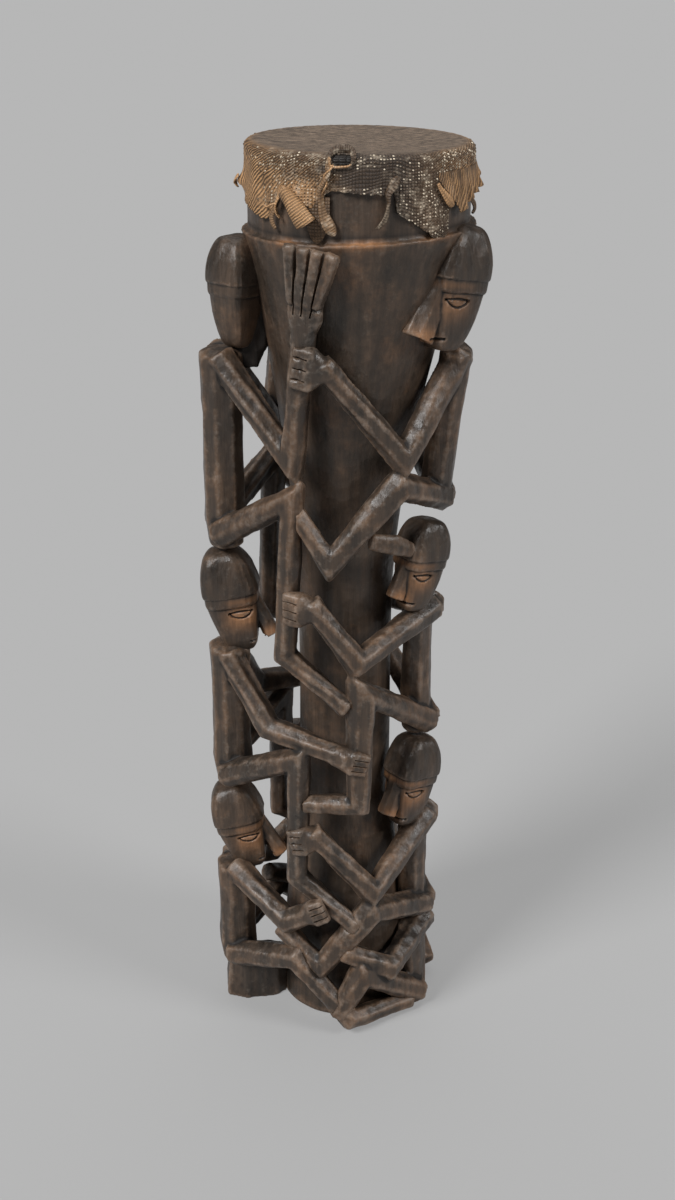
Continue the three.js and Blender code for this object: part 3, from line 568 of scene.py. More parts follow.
def on_skin(angle, level, lift):
    """Places on the skin by the angle round the neck, the way past the rim's corner, which is negative on the
    dish, and how far they stand off. Arrays in degrees and millimetres."""
    turn = np.clip(level / (4000 * half_shoulder) + 0.25, 0.0, 0.5) * math.pi
    inward = np.minimum(level / 1000 + half_shoulder, 0.0)
    hanging = np.maximum(level / 1000 - half_shoulder, 0.0)
    bend = rim_rounding + lift / 1000
    radius = dish_radius + inward + (bend + skin_stand) * np.sin(turn)
    sag = head_sag * (1 - ((dish_radius + inward) / dish_radius) ** 2)
    height = skin_top - sag - hanging - rim_rounding + bend * np.cos(turn)
    x = radius * np.sin(np.radians(angle))
    rise = np.clip((height - ledge_height) / (skin_top - ledge_height), 0.0, 1.0)
    slope = (ledge_rise - (ledge_rise + rim_fall) * rise) / cone_top_radius
    y = radius * np.cos(np.radians(angle))
    return np.stack([neck_axis.x + x, neck_axis.y - y, height + x * slope], -1)


def skin_mesh(name, patches):
    """A mesh of grids of points by row and column. Each has attributes and a UV map, in which the way round
    the neck is 1, and may close on itself from its last column to its first."""
    points, quads, corners = [], [], []
    marks = {label: [] for label in ("gold", "dots", "ribs", "phase", "dish", "dark")}
    count = 0
    for grid, uv, wraps, values in patches:
        rows, columns = grid.shape[:2]
        numbers = count + np.arange(rows * columns).reshape(rows, columns)
        count += rows * columns
        if wraps:
            numbers = np.concatenate([numbers, numbers[:, :1]], 1)
        for parts, table in ((quads, numbers), (corners, uv)):
            parts.append(np.stack([table[1:, :-1], table[1:, 1:], table[:-1, 1:], table[:-1, :-1]], 2))
        points.append(grid.reshape(-1, 3))
        for label, layer in marks.items():
            layer.append(np.broadcast_to(values.get(label, 0.0), (rows, columns)).ravel())
    mesh = bpy.data.meshes.new(name)
    faces = np.concatenate([part.reshape(-1, 4) for part in quads])
    mesh.from_pydata(np.concatenate(points).tolist(), [], faces.tolist())
    for label, layer in marks.items():
        store_mark(mesh, label, np.concatenate(layer))
    map_of_scales = np.concatenate([part.reshape(-1, 2) for part in corners]).astype(np.float32)
    mesh.uv_layers.new(name="scales").data.foreach_set("uv", map_of_scales.ravel())
    return mesh


def scale_uv(across, along):
    """The UV map of a patch from its sizes in millimetres."""
    return np.stack(np.broadcast_arrays(across, along), -1) / (scale_pitch * 1000 * scale_columns)


dark_hide = (0.052, 0.034, 0.022, 1.0)
tan_hide = (0.50, 0.285, 0.135, 1.0)
bleached_hide = (0.50, 0.42, 0.32, 1.0)
dish_hide = (0.175, 0.128, 0.092, 1.0)
dark_horn = (0.095, 0.062, 0.038, 1.0)
pale_horn = (0.80, 0.69, 0.53, 1.0)


def lizard_skin():
    """Dried skin: dark between pale bead scales, tan where it is worn thin, with grooves between its scales
    or ribs, and a dull, crinkled dish. Painted shade darkens the grooves and the dish's creases."""
    material = bpy.data.materials.new("lizard_skin")
    recipe = fresh_recipe(material)
    place = recipe.add("ShaderNodeTexCoord", output="Object")
    uv = recipe.add("ShaderNodeUVMap", {"uv_map": "scales"})
    uv = split(recipe, scaled(recipe, uv, float(scale_columns)))
    gold, dots, ribs, phase, dish, dark = (
        mark(recipe, name) for name in ("gold", "dots", "ribs", "phase", "dish", "dark")
    )
    cloud = noise(recipe, place, 60.0, 5.0, 0.6)
    spots = noise(recipe, place, 190.0, 4.0)
    fine = noise(recipe, place, 900.0, 3.0)
    across = (uv * math.pi).math("SINE", 0.0).math("ABSOLUTE", 0.0)
    along = (uv.output("Y") * math.pi).math("SINE", 0.0).math("ABSOLUTE", 0.0)
    cell = (across * along) ** 0.5
    wobble = phase + (spots - 0.5) * 0.9
    rib = (wobble * (2 * math.pi)).math("SINE", 0.0) * 0.5 + 0.5
    notch = (uv.output("Y") * (3 * math.pi) + uv * 1.7).math("SINE", 0.0).math("ABSOLUTE", 0.0)
    ribbed = rib * (notch * 0.3 + 0.7)
    pattern = (cell * 0.45 + spots * 0.5 + 0.1) * (1.0 - ribs) + ribbed * ribs
    creased = recipe.add("ShaderNodeMapping", {}, {"Vector": place, "Scale": (95.0, 380.0, 95.0)})
    crinkle = noise(recipe, creased, 1.0, 5.0, 0.72)
    surface = pattern * (1.0 - dish) + crinkle * dish
    tanned = (gold * 1.15 + (cloud - 0.5) * 1.5 * gold).limited()
    bleached = ((spots - 0.5) * 3.0 + (cloud - 0.46) * 3.5 - 0.1).limited()
    colour = blend(recipe, tanned, dark_hide, tan_hide)
    colour = blend(recipe, bleached * dots * 0.75, colour, bleached_hide)
    colour = blend(recipe, dish, colour, dish_hide)
    # Painted shade: the colour darkens in the grooves between the scales and ribs, and in the creases of the
    # dish.
    hanging = (surface * 1.35 + 0.15) * (cloud * 0.9 + 0.55) * (1.0 - dish)
    crease_shade = (crinkle * 5.6 - 1.95).math("MAXIMUM", 0.22)
    # Painted shade: the dark mark darkens the colour of the sheet in the hole to about a fifth.
    shade = (hanging + dish * crease_shade) * (fine * 0.4 + 0.8) * (1.0 - dark * 0.82)
    relief = surface + fine * 0.15 + cloud * 0.3
    rough = 0.62 + (fine - 0.5) * 0.2 - surface * 0.1
    paint(recipe, scaled(recipe, colour, shade), rough, relief, 1.0, 0.0018, 0.45)
    return material


def bead_horn():
    """The beads themselves: horn, from dark brown to bone white by each bead's own share."""
    material = bpy.data.materials.new("bead_horn")
    recipe = fresh_recipe(material)
    worn = noise(recipe, recipe.add("ShaderNodeTexCoord", output="Object"), 320.0, 3.0)
    share = ((mark(recipe, "tip") - 0.5) * 2.6 + (worn - 0.5) * 1.2).limited()
    paint(recipe, blend(recipe, share, dark_horn, pale_horn), 0.45 + worn * 0.2, worn, 0.3, 0.0004)
    return material


def bead_tree():
    """A bead for each scale of the grid, set on the skin by its UV map, and fewer where few dots are due."""
    sizes = {"Columns": 3, "Rows": 3, "Size": 0.0, "Seed": 1, "Material": bead_material}
    steps, start, wires = geometry_tree("bead_scales", sizes)
    grid = steps.add("GeometryNodeMeshGrid", {}, {
        "Size X": wires["Columns"] - 1.0, "Size Y": wires["Rows"] - 1.0,
        "Vertices X": wires["Columns"], "Vertices Y": wires["Rows"],
    })
    spot = split(steps, steps.add("GeometryNodeInputPosition"))
    here = steps.add("ShaderNodeCombineXYZ", {}, {
        "X": spot / wires["Columns"] + 0.5, "Y": (spot.output("Y") + wires["Rows"] * 0.5) / wires["Columns"],
    })

    def stored(kind, name):
        return steps.add("GeometryNodeInputNamedAttribute", {"data_type": kind}, {"Name": name})

    def chance(more):
        return steps.add("FunctionNodeRandomValue", {"data_type": "FLOAT"}, {"Seed": wires["Seed"] + more}, 1)

    map_of_skin = stored("FLOAT_VECTOR", "scales")

    def of_skin(kind, value):
        return steps.add("GeometryNodeSampleUVSurface", {"data_type": kind}, {
            "Mesh": start, "Value": value, "UV Map": map_of_skin, "Sample UV": here,
        })

    placed = of_skin("FLOAT_VECTOR", steps.add("GeometryNodeInputPosition"))
    normal = of_skin("FLOAT_VECTOR", steps.add("GeometryNodeInputNormal"))
    dots = of_skin("FLOAT", stored("FLOAT", "dots"))
    kept_by, shade, growth = (chance(more) for more in (0.0, 1.0, 2.0))
    kept = placed.output("Is Valid") * (dots - kept_by).math("GREATER_THAN", 0.0)
    bead = steps.add("GeometryNodeMeshIcoSphere", {}, {"Radius": wires["Size"], "Subdivisions": 1})
    squat = steps.add("GeometryNodeTransform", {}, {"Geometry": bead, "Scale": (1.2, 0.85, 0.8)})
    turned = steps.add("FunctionNodeAlignRotationToVector", {"axis": "Z"}, {"Vector": normal})
    beads = steps.add("GeometryNodeInstanceOnPoints", {}, {
        "Points": grid, "Selection": kept, "Instance": squat, "Rotation": turned,
        "Scale": growth * 0.55 + 0.7,
    })
    spread = steps.add("GeometryNodeSetPosition", {}, {"Geometry": beads, "Position": placed})
    tipped = steps.add("GeometryNodeStoreNamedAttribute", {"data_type": "FLOAT", "domain": "INSTANCE"}, {
        "Geometry": spread, "Name": "tip", "Value": shade,
    })
    end_tree(steps, tipped, wires["Material"])
    return steps.tree


# The sheet itself: rows of points over the dish, round the rim and down the skirt to the hem. Each point has
# its share of tan, of dots and of ribs, and the ribs are rib_pitch millimetres apart.
rib_pitch = 3.5
angles = np.arange(skin_sides) * (360 / skin_sides) - 180
hem_at, hem_drop = zip(*hem_drops)
hems = np.interp(angles, hem_at, hem_drop) + np.sin(np.radians(angles) * 83) * 0.5 + ripple(angles * 2.3, 7.0)
corner = half_shoulder * 1000
levels = np.concatenate([
    (np.linspace(0.0, 1.0, 19)[:, None] - 1) * dish_radius * 1000 - corner + angles * 0,
    np.linspace(-1.0, 1.0, 8)[1:-1, None] * corner + angles * 0,
    corner + np.linspace(0.0, 1.0, 49)[:, None] * (hems - rim_rounding * 1000),
])
outside = eased(levels, -corner, corner)
creased = ripple(angles * 3 + levels * 2.2, levels * 4) * 0.3
stand = skirt_stand(angles, levels) * outside + (1 - outside) * creased
points = on_skin(angles, levels, stand)
points[0] = points[0].mean(0)

# Where the skin is tan, ribbed or dotted, by the angle in degrees and the level in millimetres.
border = angles + 5 * np.sin(levels / 6) + 4 * np.sin(levels / 2.7 + angles / 5)
flank = 1 - eased(border, -62, -34)
left_side = flank * eased(angles, -130, -95)
mid_left = (1 - flank) * (1 - eased(border, -22, -10))
banded = np.exp(-((angles + 29) / 8) ** 2) * eased(levels, 20, 34)
right_fold = eased(angles, 47, 56) * eased(levels, 12, 26)
behind = eased(np.abs(angles), 82, 100)
middle = np.exp(-(angles / 15) ** 2)
dotted = (
    0.5 + 0.4 * mid_left + 0.3 * (1 - eased(levels, 5, 12)) + 0.5 * np.exp(-((angles - 36) / 12) ** 2)
    - 0.55 * middle * eased(levels, 8, 14) * (1 - eased(levels, 29, 33))
    + 0.4 * middle * eased(levels, 31, 35)
)
right_rim = eased(border, 34, 52) * (1 - eased(levels, 10, 26))
ribbed_side = flank + mid_left * 0.6 * (1 - eased(levels, 24, 40)) + eased(border, 30, 50) * 0.8
ribbed_side = (1 - 0.6 * behind) * np.clip(ribbed_side, 0, 1)
sheet_marks = {
    "gold": np.clip(
        left_side * 0.9 + mid_left * 0.36 + banded * 0.9 + right_fold * 0.8 + right_rim * 0.5 + behind * 0.5
        + 0.14 * eased(angles, 18, 34), 0, 1,
    ) * (0.45 + 0.55 * eased(levels, -3, 16)),
    "dots": eased(levels, -7, 1) * np.clip(
        (1 - flank) * (1 - behind) * dotted + 0.15 * behind
        + 0.45 * flank * (1 - eased(levels, 10, 34)) * eased(angles, -74, -50), 0, 1,
    ),
    "ribs": ribbed_side * eased(levels, -9, 2),
    "phase": (
        neck_radius * 1000 * np.sin(np.radians(angles))
        + (levels + 6 * np.sin(levels / 14)) * eased(angles, -90, -58) * (1 - eased(angles, 95, 125))
    ) / rib_pitch,
    "dish": 1 - eased(levels, -8, 0),
}
bent_rows = levels + 3.0 * np.sin(np.radians(angles) * 9) + 1.2 * np.sin(np.radians(angles) * 23 + levels / 9)
closing = np.concatenate([bent_rows, bent_rows[:, :1]], 1)
sheet_uv = scale_uv(np.linspace(0, scale_columns, skin_sides + 1) * scale_pitch * 1000, closing)
sheet = skin_mesh("skin_sheet", [(points, sheet_uv, True, sheet_marks)])

# The hole at the front of the rim is torn out of the sheet.
level_of = levels.ravel()
cut = bmesh.new()
cut.from_mesh(sheet)
torn = []
for face in cut.faces:
    turn = np.mean([angles[vertex.index % skin_sides] for vertex in face.verts])
    level = np.mean([level_of[vertex.index] for vertex in face.verts])
    away = math.hypot((turn - hole_angle) / hole_half_angle, (level - hole_level) / hole_half_level)
    if away < 1:
        torn.append(face)
bmesh.ops.delete(cut, geom=torn, context="FACES")
bmesh.ops.remove_doubles(cut, verts=cut.verts, dist=0.00002)
cut.to_mesh(sheet)
cut.free()

skin_material = lizard_skin()
bead_material = bead_horn()
bead_size = 0.00102
beads = new_object("skin_beads", sheet.copy())
grow_with(beads, bead_tree(), {
    "Columns": scale_columns, "Rows": scale_rows, "Size": bead_size, "Seed": 11, "Material": bead_material,
})
finished_mesh(beads, "skin_beads")
smooth_shaded(beads.data)
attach(beads, "root")
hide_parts("head_skin")


def skin_piece(name, mesh, thickness, *nodes):
    """A finished piece of skin, thickened inwards."""
    mesh.materials.append(skin_material)
    piece = new_object(name, mesh)
    if thickness:
        thicken = piece.modifiers.new("thickness", "SOLIDIFY")
        thicken.thickness = thickness
        thicken.offset = -1.0
        finished_mesh(piece, name)
    smooth_shaded(piece.data)
    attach(piece, "root")
    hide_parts(*nodes)
    return piece


# The hide was cut about as large as its dish and skirt together, and dried hard over the rim.
stretched_hide = skin_piece("skin_sheet", sheet, sheet_thickness, "head_skin")

# The roll: a torn edge that has dried into an open curl, wider at its lower end. It runs slanting down from
# one angle, level and stand to another.
roll_run = ((-36.5, -24.0), (36, 65), (8, 10.5))
roll_radii = (0.0066, 0.0108)
roll_ripple = 0.0009
torn_thickness = 0.0013
roll_ways = np.linspace(0.0, 1.0, 30)[:, None]
roll_turns = np.radians(np.linspace(-155, 150, 34))
roll_core = on_skin(*(start + (end - start) * roll_ways[:, 0] for start, end in roll_run))
roll_along = roll_core[-1] - roll_core[0]
roll_along /= np.linalg.norm(roll_along)
roll_out = roll_core.mean(0) - np.array((neck_axis.x, neck_axis.y, roll_core[:, 2].mean()))
roll_out -= roll_along * (roll_out @ roll_along)
roll_out /= np.linalg.norm(roll_out)
roll_side = np.cross(roll_out, roll_along)
roll_radius = roll_radii[0] + (roll_radii[1] - roll_radii[0]) * roll_ways
roll_radius = roll_radius + roll_ripple * np.sin(roll_turns * 3 + roll_ways * 5)
roll_slip = 0.004 * roll_ways * np.sin(roll_turns + 0.8)
roll_points = (
    roll_core[:, None] + (roll_radius * np.cos(roll_turns))[..., None] * roll_out
    + (roll_radius * np.sin(roll_turns))[..., None] * roll_side + roll_slip[..., None] * roll_along
)
roll_uv = scale_uv(np.degrees(roll_turns) * 0.19, roll_ways * 52)
roll_marks = {
    "gold": 0.62 + 0.38 * np.sin(roll_turns + 0.4), "dots": 0.3, "ribs": 0.6,
    "phase": roll_ways * 15 + 0.2 * np.sin(roll_turns * 2),
}
roll_mesh = skin_mesh("hide_roll", [(roll_points, roll_uv, False, roll_marks)])
rolled_hide = skin_piece("hide_roll", roll_mesh, torn_thickness, "skin_roll")

# The flap at the right: a torn piece that stands out from the neck, with one deep fold and finer pleats. Its
# hem and how far that stands out are given by the angle.
flap_top = 20
flap_pleat = 0.95
flap_hem = (
    (40, 30), (45, 43), (48.8, 55), (50.4, 49), (52, 60), (54.6, 68), (58, 65), (62, 60), (66, 53), (72, 51),
    (77, 47), (81, 43), (85, 34),
)
flap_stands = (
    (40, 0.5), (45, 2.5), (49.4, 7.5), (50.6, 1.6), (53, 5.2), (60, 5.5), (70, 6.0), (78, 8.0), (85, 3.5),
)
flap_angles = np.linspace(40, 85, 96)
flap_ways = np.linspace(0.0, 1.0, 30)[:, None]
flap_hems = np.interp(flap_angles, *zip(*flap_hem)) - 22 + ripple(flap_angles * 5, 3.0)
flap_levels = flap_top + flap_ways * flap_hems
flap_pleats = np.sin((flap_angles - 50) * flap_pleat)
flap_folds = np.interp(flap_angles, *zip(*flap_stands)) + 2.3 * flap_pleats * eased(flap_angles, 51, 58)
flap_lift = 0.9 + skirt_stand(flap_angles, flap_levels) * (1 - flap_ways) + flap_ways ** 1.3 * flap_folds
flap_uv = scale_uv(flap_angles * 2.2, flap_levels)
flap_marks = {
    "gold": 0.8 + 0.2 * flap_pleats - 0.35 * (1 - eased(flap_ways, 0.0, 0.4)), "dots": 0.2,
    "ribs": 0.8, "phase": (flap_angles * 2.2 + flap_levels * 0.35) / 3.4,
}
flap_points = on_skin(flap_angles, flap_levels, flap_lift)
flap_mesh = skin_mesh("hide_flap", [(flap_points, flap_uv, False, flap_marks)])
torn_hide = skin_piece("hide_flap", flap_mesh, torn_thickness, "skin_flap")


def filled_rows(rows, steps):
    """Rows between the given ones, on a smooth curve through them."""
    rows = np.array(rows, float)
    places = np.linspace(0, len(rows) - 1, steps)
    result = []
    for place in places:
        i = min(int(place), len(rows) - 2)
        t = place - i
        before = rows[max(i - 1, 0)]
        after = rows[min(i + 2, len(rows) - 1)]
        slope_in = (rows[i + 1] - before) / (2 if i > 0 else 1)
        slope_out = (after - rows[i]) / (2 if i + 2 < len(rows) else 1)
        result.append(
            (2 * t ** 3 - 3 * t ** 2 + 1) * rows[i] + (t ** 3 - 2 * t ** 2 + t) * slope_in
            + (3 * t ** 2 - 2 * t ** 3) * rows[i + 1] + (t ** 3 - t ** 2) * slope_out
        )
    return result


# The strips and threads: torn, twisted and curled strands, each through places given by angle, level, stand
# and width, with its share of tan, of dots and its number of twists. The first two hang over the neck's wood.
strands = (
    (((-14.5, 2, 2, 7), (-15.4, 12, 3, 6), (-15, 17, 3.4, 7), (-17.6, 26, 3, 10), (-18.8, 35, 3, 11),
      (-18, 47, 3, 11), (-16.8, 58, 3.4, 12), (-14, 70, 4, 13), (-11.8, 78, 3.4, 7)), 0.34, 0.95, 0.5),
    (((17.5, 20, 2, 9), (15.2, 28, 2.6, 10), (12.6, 37, 3, 9.5), (12.8, 46, 3, 9), (12.2, 55, 3, 8),
      (11, 63, 3, 6.5), (8.4, 70, 2.6, 4), (6.6, 71, 2.4, 2.4)), 0.06, 0.55, 0.6),
    (((-12.6, 8, 3, 2.6), (-14, 13, 4.6, 2.8), (-16.6, 19, 4.4, 2.8), (-15.6, 27, 4.8, 2.6),
      (-18.2, 37, 4.6, 2.4), (-19.8, 45, 4.2, 1.6)), 0.85, 0.4, 1.0),
    (((-15.2, -2, 1, 1.8), (-14.6, 6, 3, 2), (-13.8, 11, 4, 2.2), (-14.6, 16, 4.4, 1.6)), 0.7, 0.7, 0.0),
    (((-14, 9, 3, 2.6), (-12, 10.6, 3.4, 2.4), (-9, 10.2, 3, 2.4), (-6, 9.4, 2.8, 2.2),
      (-4.4, 7.4, 2.4, 2)), 0.7, 0.7, 0.0),
    (((-15, 3, 1.6, 3), (-14.2, -1, 2.8, 6), (-12, -5, 3.6, 8), (-9, -6.6, 4, 9), (-6, -5.4, 4, 8.5),
      (-4, -2, 3.4, 7), (-3.4, 3, 2.8, 5), (-4.6, 7.4, 2, 2.4)), 0.05, 1.0, 0.0),
    (((-38.4, 31, 2, 7), (-40.4, 41, 4.5, 7), (-42.2, 51, 5.5, 6), (-41.8, 59, 5, 5), (-40.2, 64, 4, 3)),
      0.9, 0.1, 0.3),
    (((-43.4, 54, 3, 6.5), (-45.4, 61, 4.4, 6.5), (-45, 69, 4.6, 6), (-43, 75, 3.6, 4)), 0.45, 0.0, 0.0),
    (((-51, 52, 5.5, 2), (-48, 54, 6, 2.2), (-44.5, 51, 5.6, 2), (-41.4, 49, 5.4, 2)), 0.95, 0.2, 0.0),
    (((38.5, 30, 3, 4), (40, 36, 3.6, 5), (43, 44, 4.4, 8), (46.4, 52, 4.6, 10), (49.6, 56, 4, 4)), 1.0,
      0.0, 0.0),
    (((68, 56, 3, 6), (70, 62, 5, 8), (71, 68, 5, 8), (70, 73, 3, 6)), 0.1, 0.0, 0.0),
    (((-86, 34, 6, 5), (-89.5, 39, 9.5, 6), (-91, 44, 10, 5), (-90, 48, 7, 3)), 0.85, 0.0, 0.2),
)
strand_sides = 10
strand_thickness = 0.0021
strand_fullness = 0.42
patches = []
for path, gold, dots, twists in strands:
    rows = np.array(filled_rows(path, 8 * len(path)))
    core = on_skin(rows[:, 0], rows[:, 1], rows[:, 2])
    along = np.gradient(core, axis=0)
    along /= np.linalg.norm(along, axis=1)[:, None]
    out = core - np.array((neck_axis.x, neck_axis.y, 0.0)) - core * (0, 0, 1)
    out /= np.linalg.norm(out, axis=1)[:, None]
    side = np.cross(out, along)
    side /= np.linalg.norm(side, axis=1)[:, None]
    share = np.linspace(0.0, 1.0, len(rows))
    ends = np.sqrt(np.clip(1 - (2 * share - 1) ** 12, 0, 1))
    turns = np.arange(strand_sides) * (2 * math.pi / strand_sides)
    wide = (rows[:, 3] / 2000 * ends)[:, None] * np.cos(turns)
    thick = np.maximum(strand_thickness, rows[:, 3] / 1000 * strand_fullness)
    thick = (thick / 2 * ends)[:, None] * np.sin(turns)
    lean = (2 * math.pi * twists * share)[:, None]
    aside = wide * np.cos(lean) - thick * np.sin(lean)
    off = wide * np.sin(lean) + thick * np.cos(lean)
    grid = core[:, None] + aside[..., None] * side[:, None] + off[..., None] * out[:, None]
    length = np.linalg.norm(np.diff(core, axis=0), axis=1).sum() * 1000
    uv = scale_uv(np.linspace(0, 12, strand_sides + 1), share[:, None] * length * 1.3)
    patches.append((grid, uv, True, {"gold": gold, "dots": dots}))

# Painted shade in the hole at the rim: a sheet just inside the skin, darkened by its dark mark.
hole_shade_depth = 1.2
hole_shade_angles = np.linspace(-15, -3, 12)
hole_shade_levels = np.linspace(-7.0, 12.0, 14)[:, None] + hole_shade_angles * 0
hole_shade_points = on_skin(hole_shade_angles, hole_shade_levels, hole_shade_levels * 0 - hole_shade_depth)
patches.append((hole_shade_points, scale_uv(hole_shade_angles, hole_shade_levels), False, {"dark": 1.0}))

# A dark rounded lobe hangs behind the roll.
lobe_middle, lobe_half_angle = -20.8, 6.6
lobe_top, lobe_length, lobe_bulge = 40, 42, 3.6
lobe_ways = np.linspace(0.0, 1.0, 16)[:, None]
lobe_angles = np.linspace(-27, -14.5, 24)
lobe_arch = 1 - ((lobe_angles - lobe_middle) / lobe_half_angle) ** 2
lobe_drop = 4 + lobe_length * np.sqrt(np.clip(lobe_arch, 0.02, 1))
lobe_levels = lobe_top + lobe_ways * lobe_drop
lobe_lift = 0.6 + lobe_bulge * np.sin(lobe_ways * 2.9) * np.sqrt(np.clip(lobe_arch, 0, 1))
lobe_points = on_skin(lobe_angles, lobe_levels, lobe_lift)
patches.append((lobe_points, scale_uv(lobe_angles * 2.2, lobe_levels), False, {"gold": 0.12}))
skin_piece("skin_strands", skin_mesh("skin_strands", patches), 0.0, "skin_strip_1", "skin_strip_2")

# The figures: six crouching people in two columns at the sides, each with its back outwards. Torso, arms and
# legs are bars of square log, rounded with a knife and left with the flats of the blade. The hands are broad
# mitts with cut fingers.
figure_voxel = 0.0018
cage_radius = 0.11008
column_angle = 80.0
arm_half_width = 0.0128
slit_top, slit_bottom = 0.0030, 0.0012
crease_angle = 48
body_rounding = 9
body_knife = (0.017, 0.0014, 0.0032, 0.001)
palm_depth, knuckle_depth, finger_depth = 0.0112, 0.0102, 0.0094
# Wrist and fingertips of each figure's hands as shares of the way round, of the height and of the cage's
# radius, how much the fingers spread, their pitch, and where along the hand the slits between them start.
hands = {
    "left_top": ((0.355, 0.825, 1.05), (0.395, 0.913, 1.18), 0.75, 0.0095, 0.3),
    "left_middle": ((0.48, 0.371, 1.04), (0.575, 0.362, 1.15), 0.0, 0.0076, 0.55),
    "left_bottom": ((0.355, 0.164, 1.06), (0.425, 0.176, 1.15), 0.0, 0.008, 0.5),
    "right_top": ((0.56, 0.796, 1.08), (0.665, 0.8, 1.19), 0.0, 0.0118, 0.6),
    "right_middle": ((0.61, 0.54, 1.03), (0.715, 0.541, 1.16), 0.0, 0.0103, 0.55),
    "right_bottom": ((0.61, 0.265, 1.03), (0.7, 0.257, 1.16), 0.0, 0.0091, 0.55),
}


def way_round(side, share, behind):
    """The angle round the log at a share of the way from a figure's own column to the other one."""
    way = 2 * column_angle * share
    if not behind:
        return side * (column_angle - way)
    smooth = min(max((share - 0.25) / 0.5, 0.0), 1.0)
    smooth = smooth * smooth * (3 - 2 * smooth)
    return side * (column_angle + way + (360 - 4 * column_angle) * smooth)


def joint_point(side, joint, behind):
    share, height, reach = joint
    angle = math.radians(way_round(side, share, behind))
    radius = cage_radius * reach
    return log_axis + Vector((radius * math.sin(angle), -radius * math.cos(angle), drum_height * height))


def outwards(point):
    return Vector((point.x - log_axis.x, point.y - log_axis.y, 0.0)).normalized()


def add_loft(form, rings):
    """A closed skin through rings of points."""
    rows = [[form.verts.new(point) for point in ring] for ring in rings]
    made = []
    for low, high in zip(rows, rows[1:]):
        for i in range(len(low)):
            j = (i + 1) % len(low)
            made.append(form.faces.new((low[i], low[j], high[j], high[i])))
    made.append(form.faces.new(list(reversed(rows[0]))))
    made.append(form.faces.new(rows[-1]))
    bmesh.ops.recalc_face_normals(form, faces=made)


def oval_ring(centre, side, out, half_width, half_depth, sides=16, squareness=3.0):
    """A rounded square round a point."""
    ring = []
    for step in range(sides):
        turn = 2 * math.pi * (step + 0.5) / sides
        c, s = math.cos(turn), math.sin(turn)
        scale = (abs(c) ** squareness + abs(s) ** squareness) ** (-1 / squareness)
        ring.append(centre + side * (half_width * c * scale) + out * (half_depth * s * scale))
    return ring


def add_tube(form, points, radii, sides=10):
    """A round tube through points."""
    rings = []
    for i, (point, radius) in enumerate(zip(points, radii)):
        along = (points[min(i + 1, len(points) - 1)] - points[max(i - 1, 0)]).normalized()
        side = along.orthogonal().normalized() if i == 0 else (side - along * side.dot(along)).normalized()
        rings.append(oval_ring(point, side, along.cross(side), radius, radius, sides, 2.0))
    add_loft(form, rings)


def mesh_of(form, name):
    mesh = bpy.data.meshes.new(name)
    form.to_mesh(mesh)
    form.free()
    return mesh


def joined_copies(name, nodes, extra=None):
    """One mesh of the merged copies of several nodes of the frame, and of a further mesh."""
    gathered = bmesh.new()
    for node in nodes:
        copy = bmesh.new()
        copy.from_mesh(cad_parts[node].data)
        bmesh.ops.remove_doubles(copy, verts=copy.verts, dist=0.00001)
        gathered.from_mesh(mesh_of(copy, node + "_copy"))
    if extra:
        gathered.from_mesh(extra)
    return mesh_of(gathered, name)


def knife_tree(material):
    """Flats of a blade over a carved form: shallow scoops that follow the surface, with a soft swell."""
    sizes = {"Cut size": 0.0, "Cut depth": 0.0, "Swell": 0.0, "Grow": 0.0, "Material": material}
    steps, start, wires = geometry_tree("knife_cuts", sizes)
    place = steps.add("GeometryNodeInputPosition")
    normal = steps.add("GeometryNodeInputNormal")
    frequency = wires["Cut size"].math("DIVIDE", 1.0, True)
    slanted = steps.add("ShaderNodeVectorMath", {"operation": "MULTIPLY"}, {0: place, 1: (1.0, 1.0, 0.5)})
    scoop = steps.add("ShaderNodeTexVoronoi", {}, {"Vector": slanted, "Scale": frequency})
    swell = noise(steps, place, 24.0, 2.0)
    height = wires["Cut depth"] * (scoop - 0.5) + wires["Swell"] * (swell - 0.5) + wires["Grow"]
    shaped = steps.add("GeometryNodeSetPosition", {}, {
        "Geometry": start, "Offset": scaled(steps, normal, height),
    })
    end_tree(steps, shaped, wires["Material"])
    return steps.tree


figure_wood = smoked_wood(
    "figure_wood", (0.036, 0.028, 0.022), (0.088, 0.055, 0.035), (0.170, 0.095, 0.052), (0.230, 0.200, 0.170),
    0.42, 0.36, 4.5,
)
figure_cuts = knife_tree(figure_wood)


def carved_form(name, mesh, voxel, rounding, knife, cuts=None):
    """A fused and rounded form from the rough solids in a mesh, with the flats of a knife, given by their
    size, their depth, a swell and an allowance. The solids in another mesh are cut out of it."""
    thing = new_object(name, mesh)
    fuse = thing.modifiers.new("fuse", "REMESH")
    fuse.mode = "VOXEL"
    fuse.voxel_size = voxel
    soften = thing.modifiers.new("soften", "SMOOTH")
    soften.factor = 0.5
    soften.iterations = rounding
    sizes = dict(zip(("Cut size", "Cut depth", "Swell", "Grow"), knife))
    grow_with(thing, figure_cuts, {**sizes, "Material": figure_wood})
    if cuts:
        cutter = new_object(name + "_cuts", cuts)
        cutting = thing.modifiers.new("cut", "BOOLEAN")
        cutting.operation = "DIFFERENCE"
        cutting.solver = "MANIFOLD"
        cutting.object = cutter
    finished_mesh(thing, name)
    if cuts:
        bpy.data.objects.remove(cutter)
    return thing


def finished_wood(thing, *nodes):
    mark_edges(thing.data, edge_reach)
    smooth_shaded(thing.data)
    thing.data.set_sharp_from_angle(angle=math.radians(crease_angle))
    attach(thing, "root")
    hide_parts(*nodes)


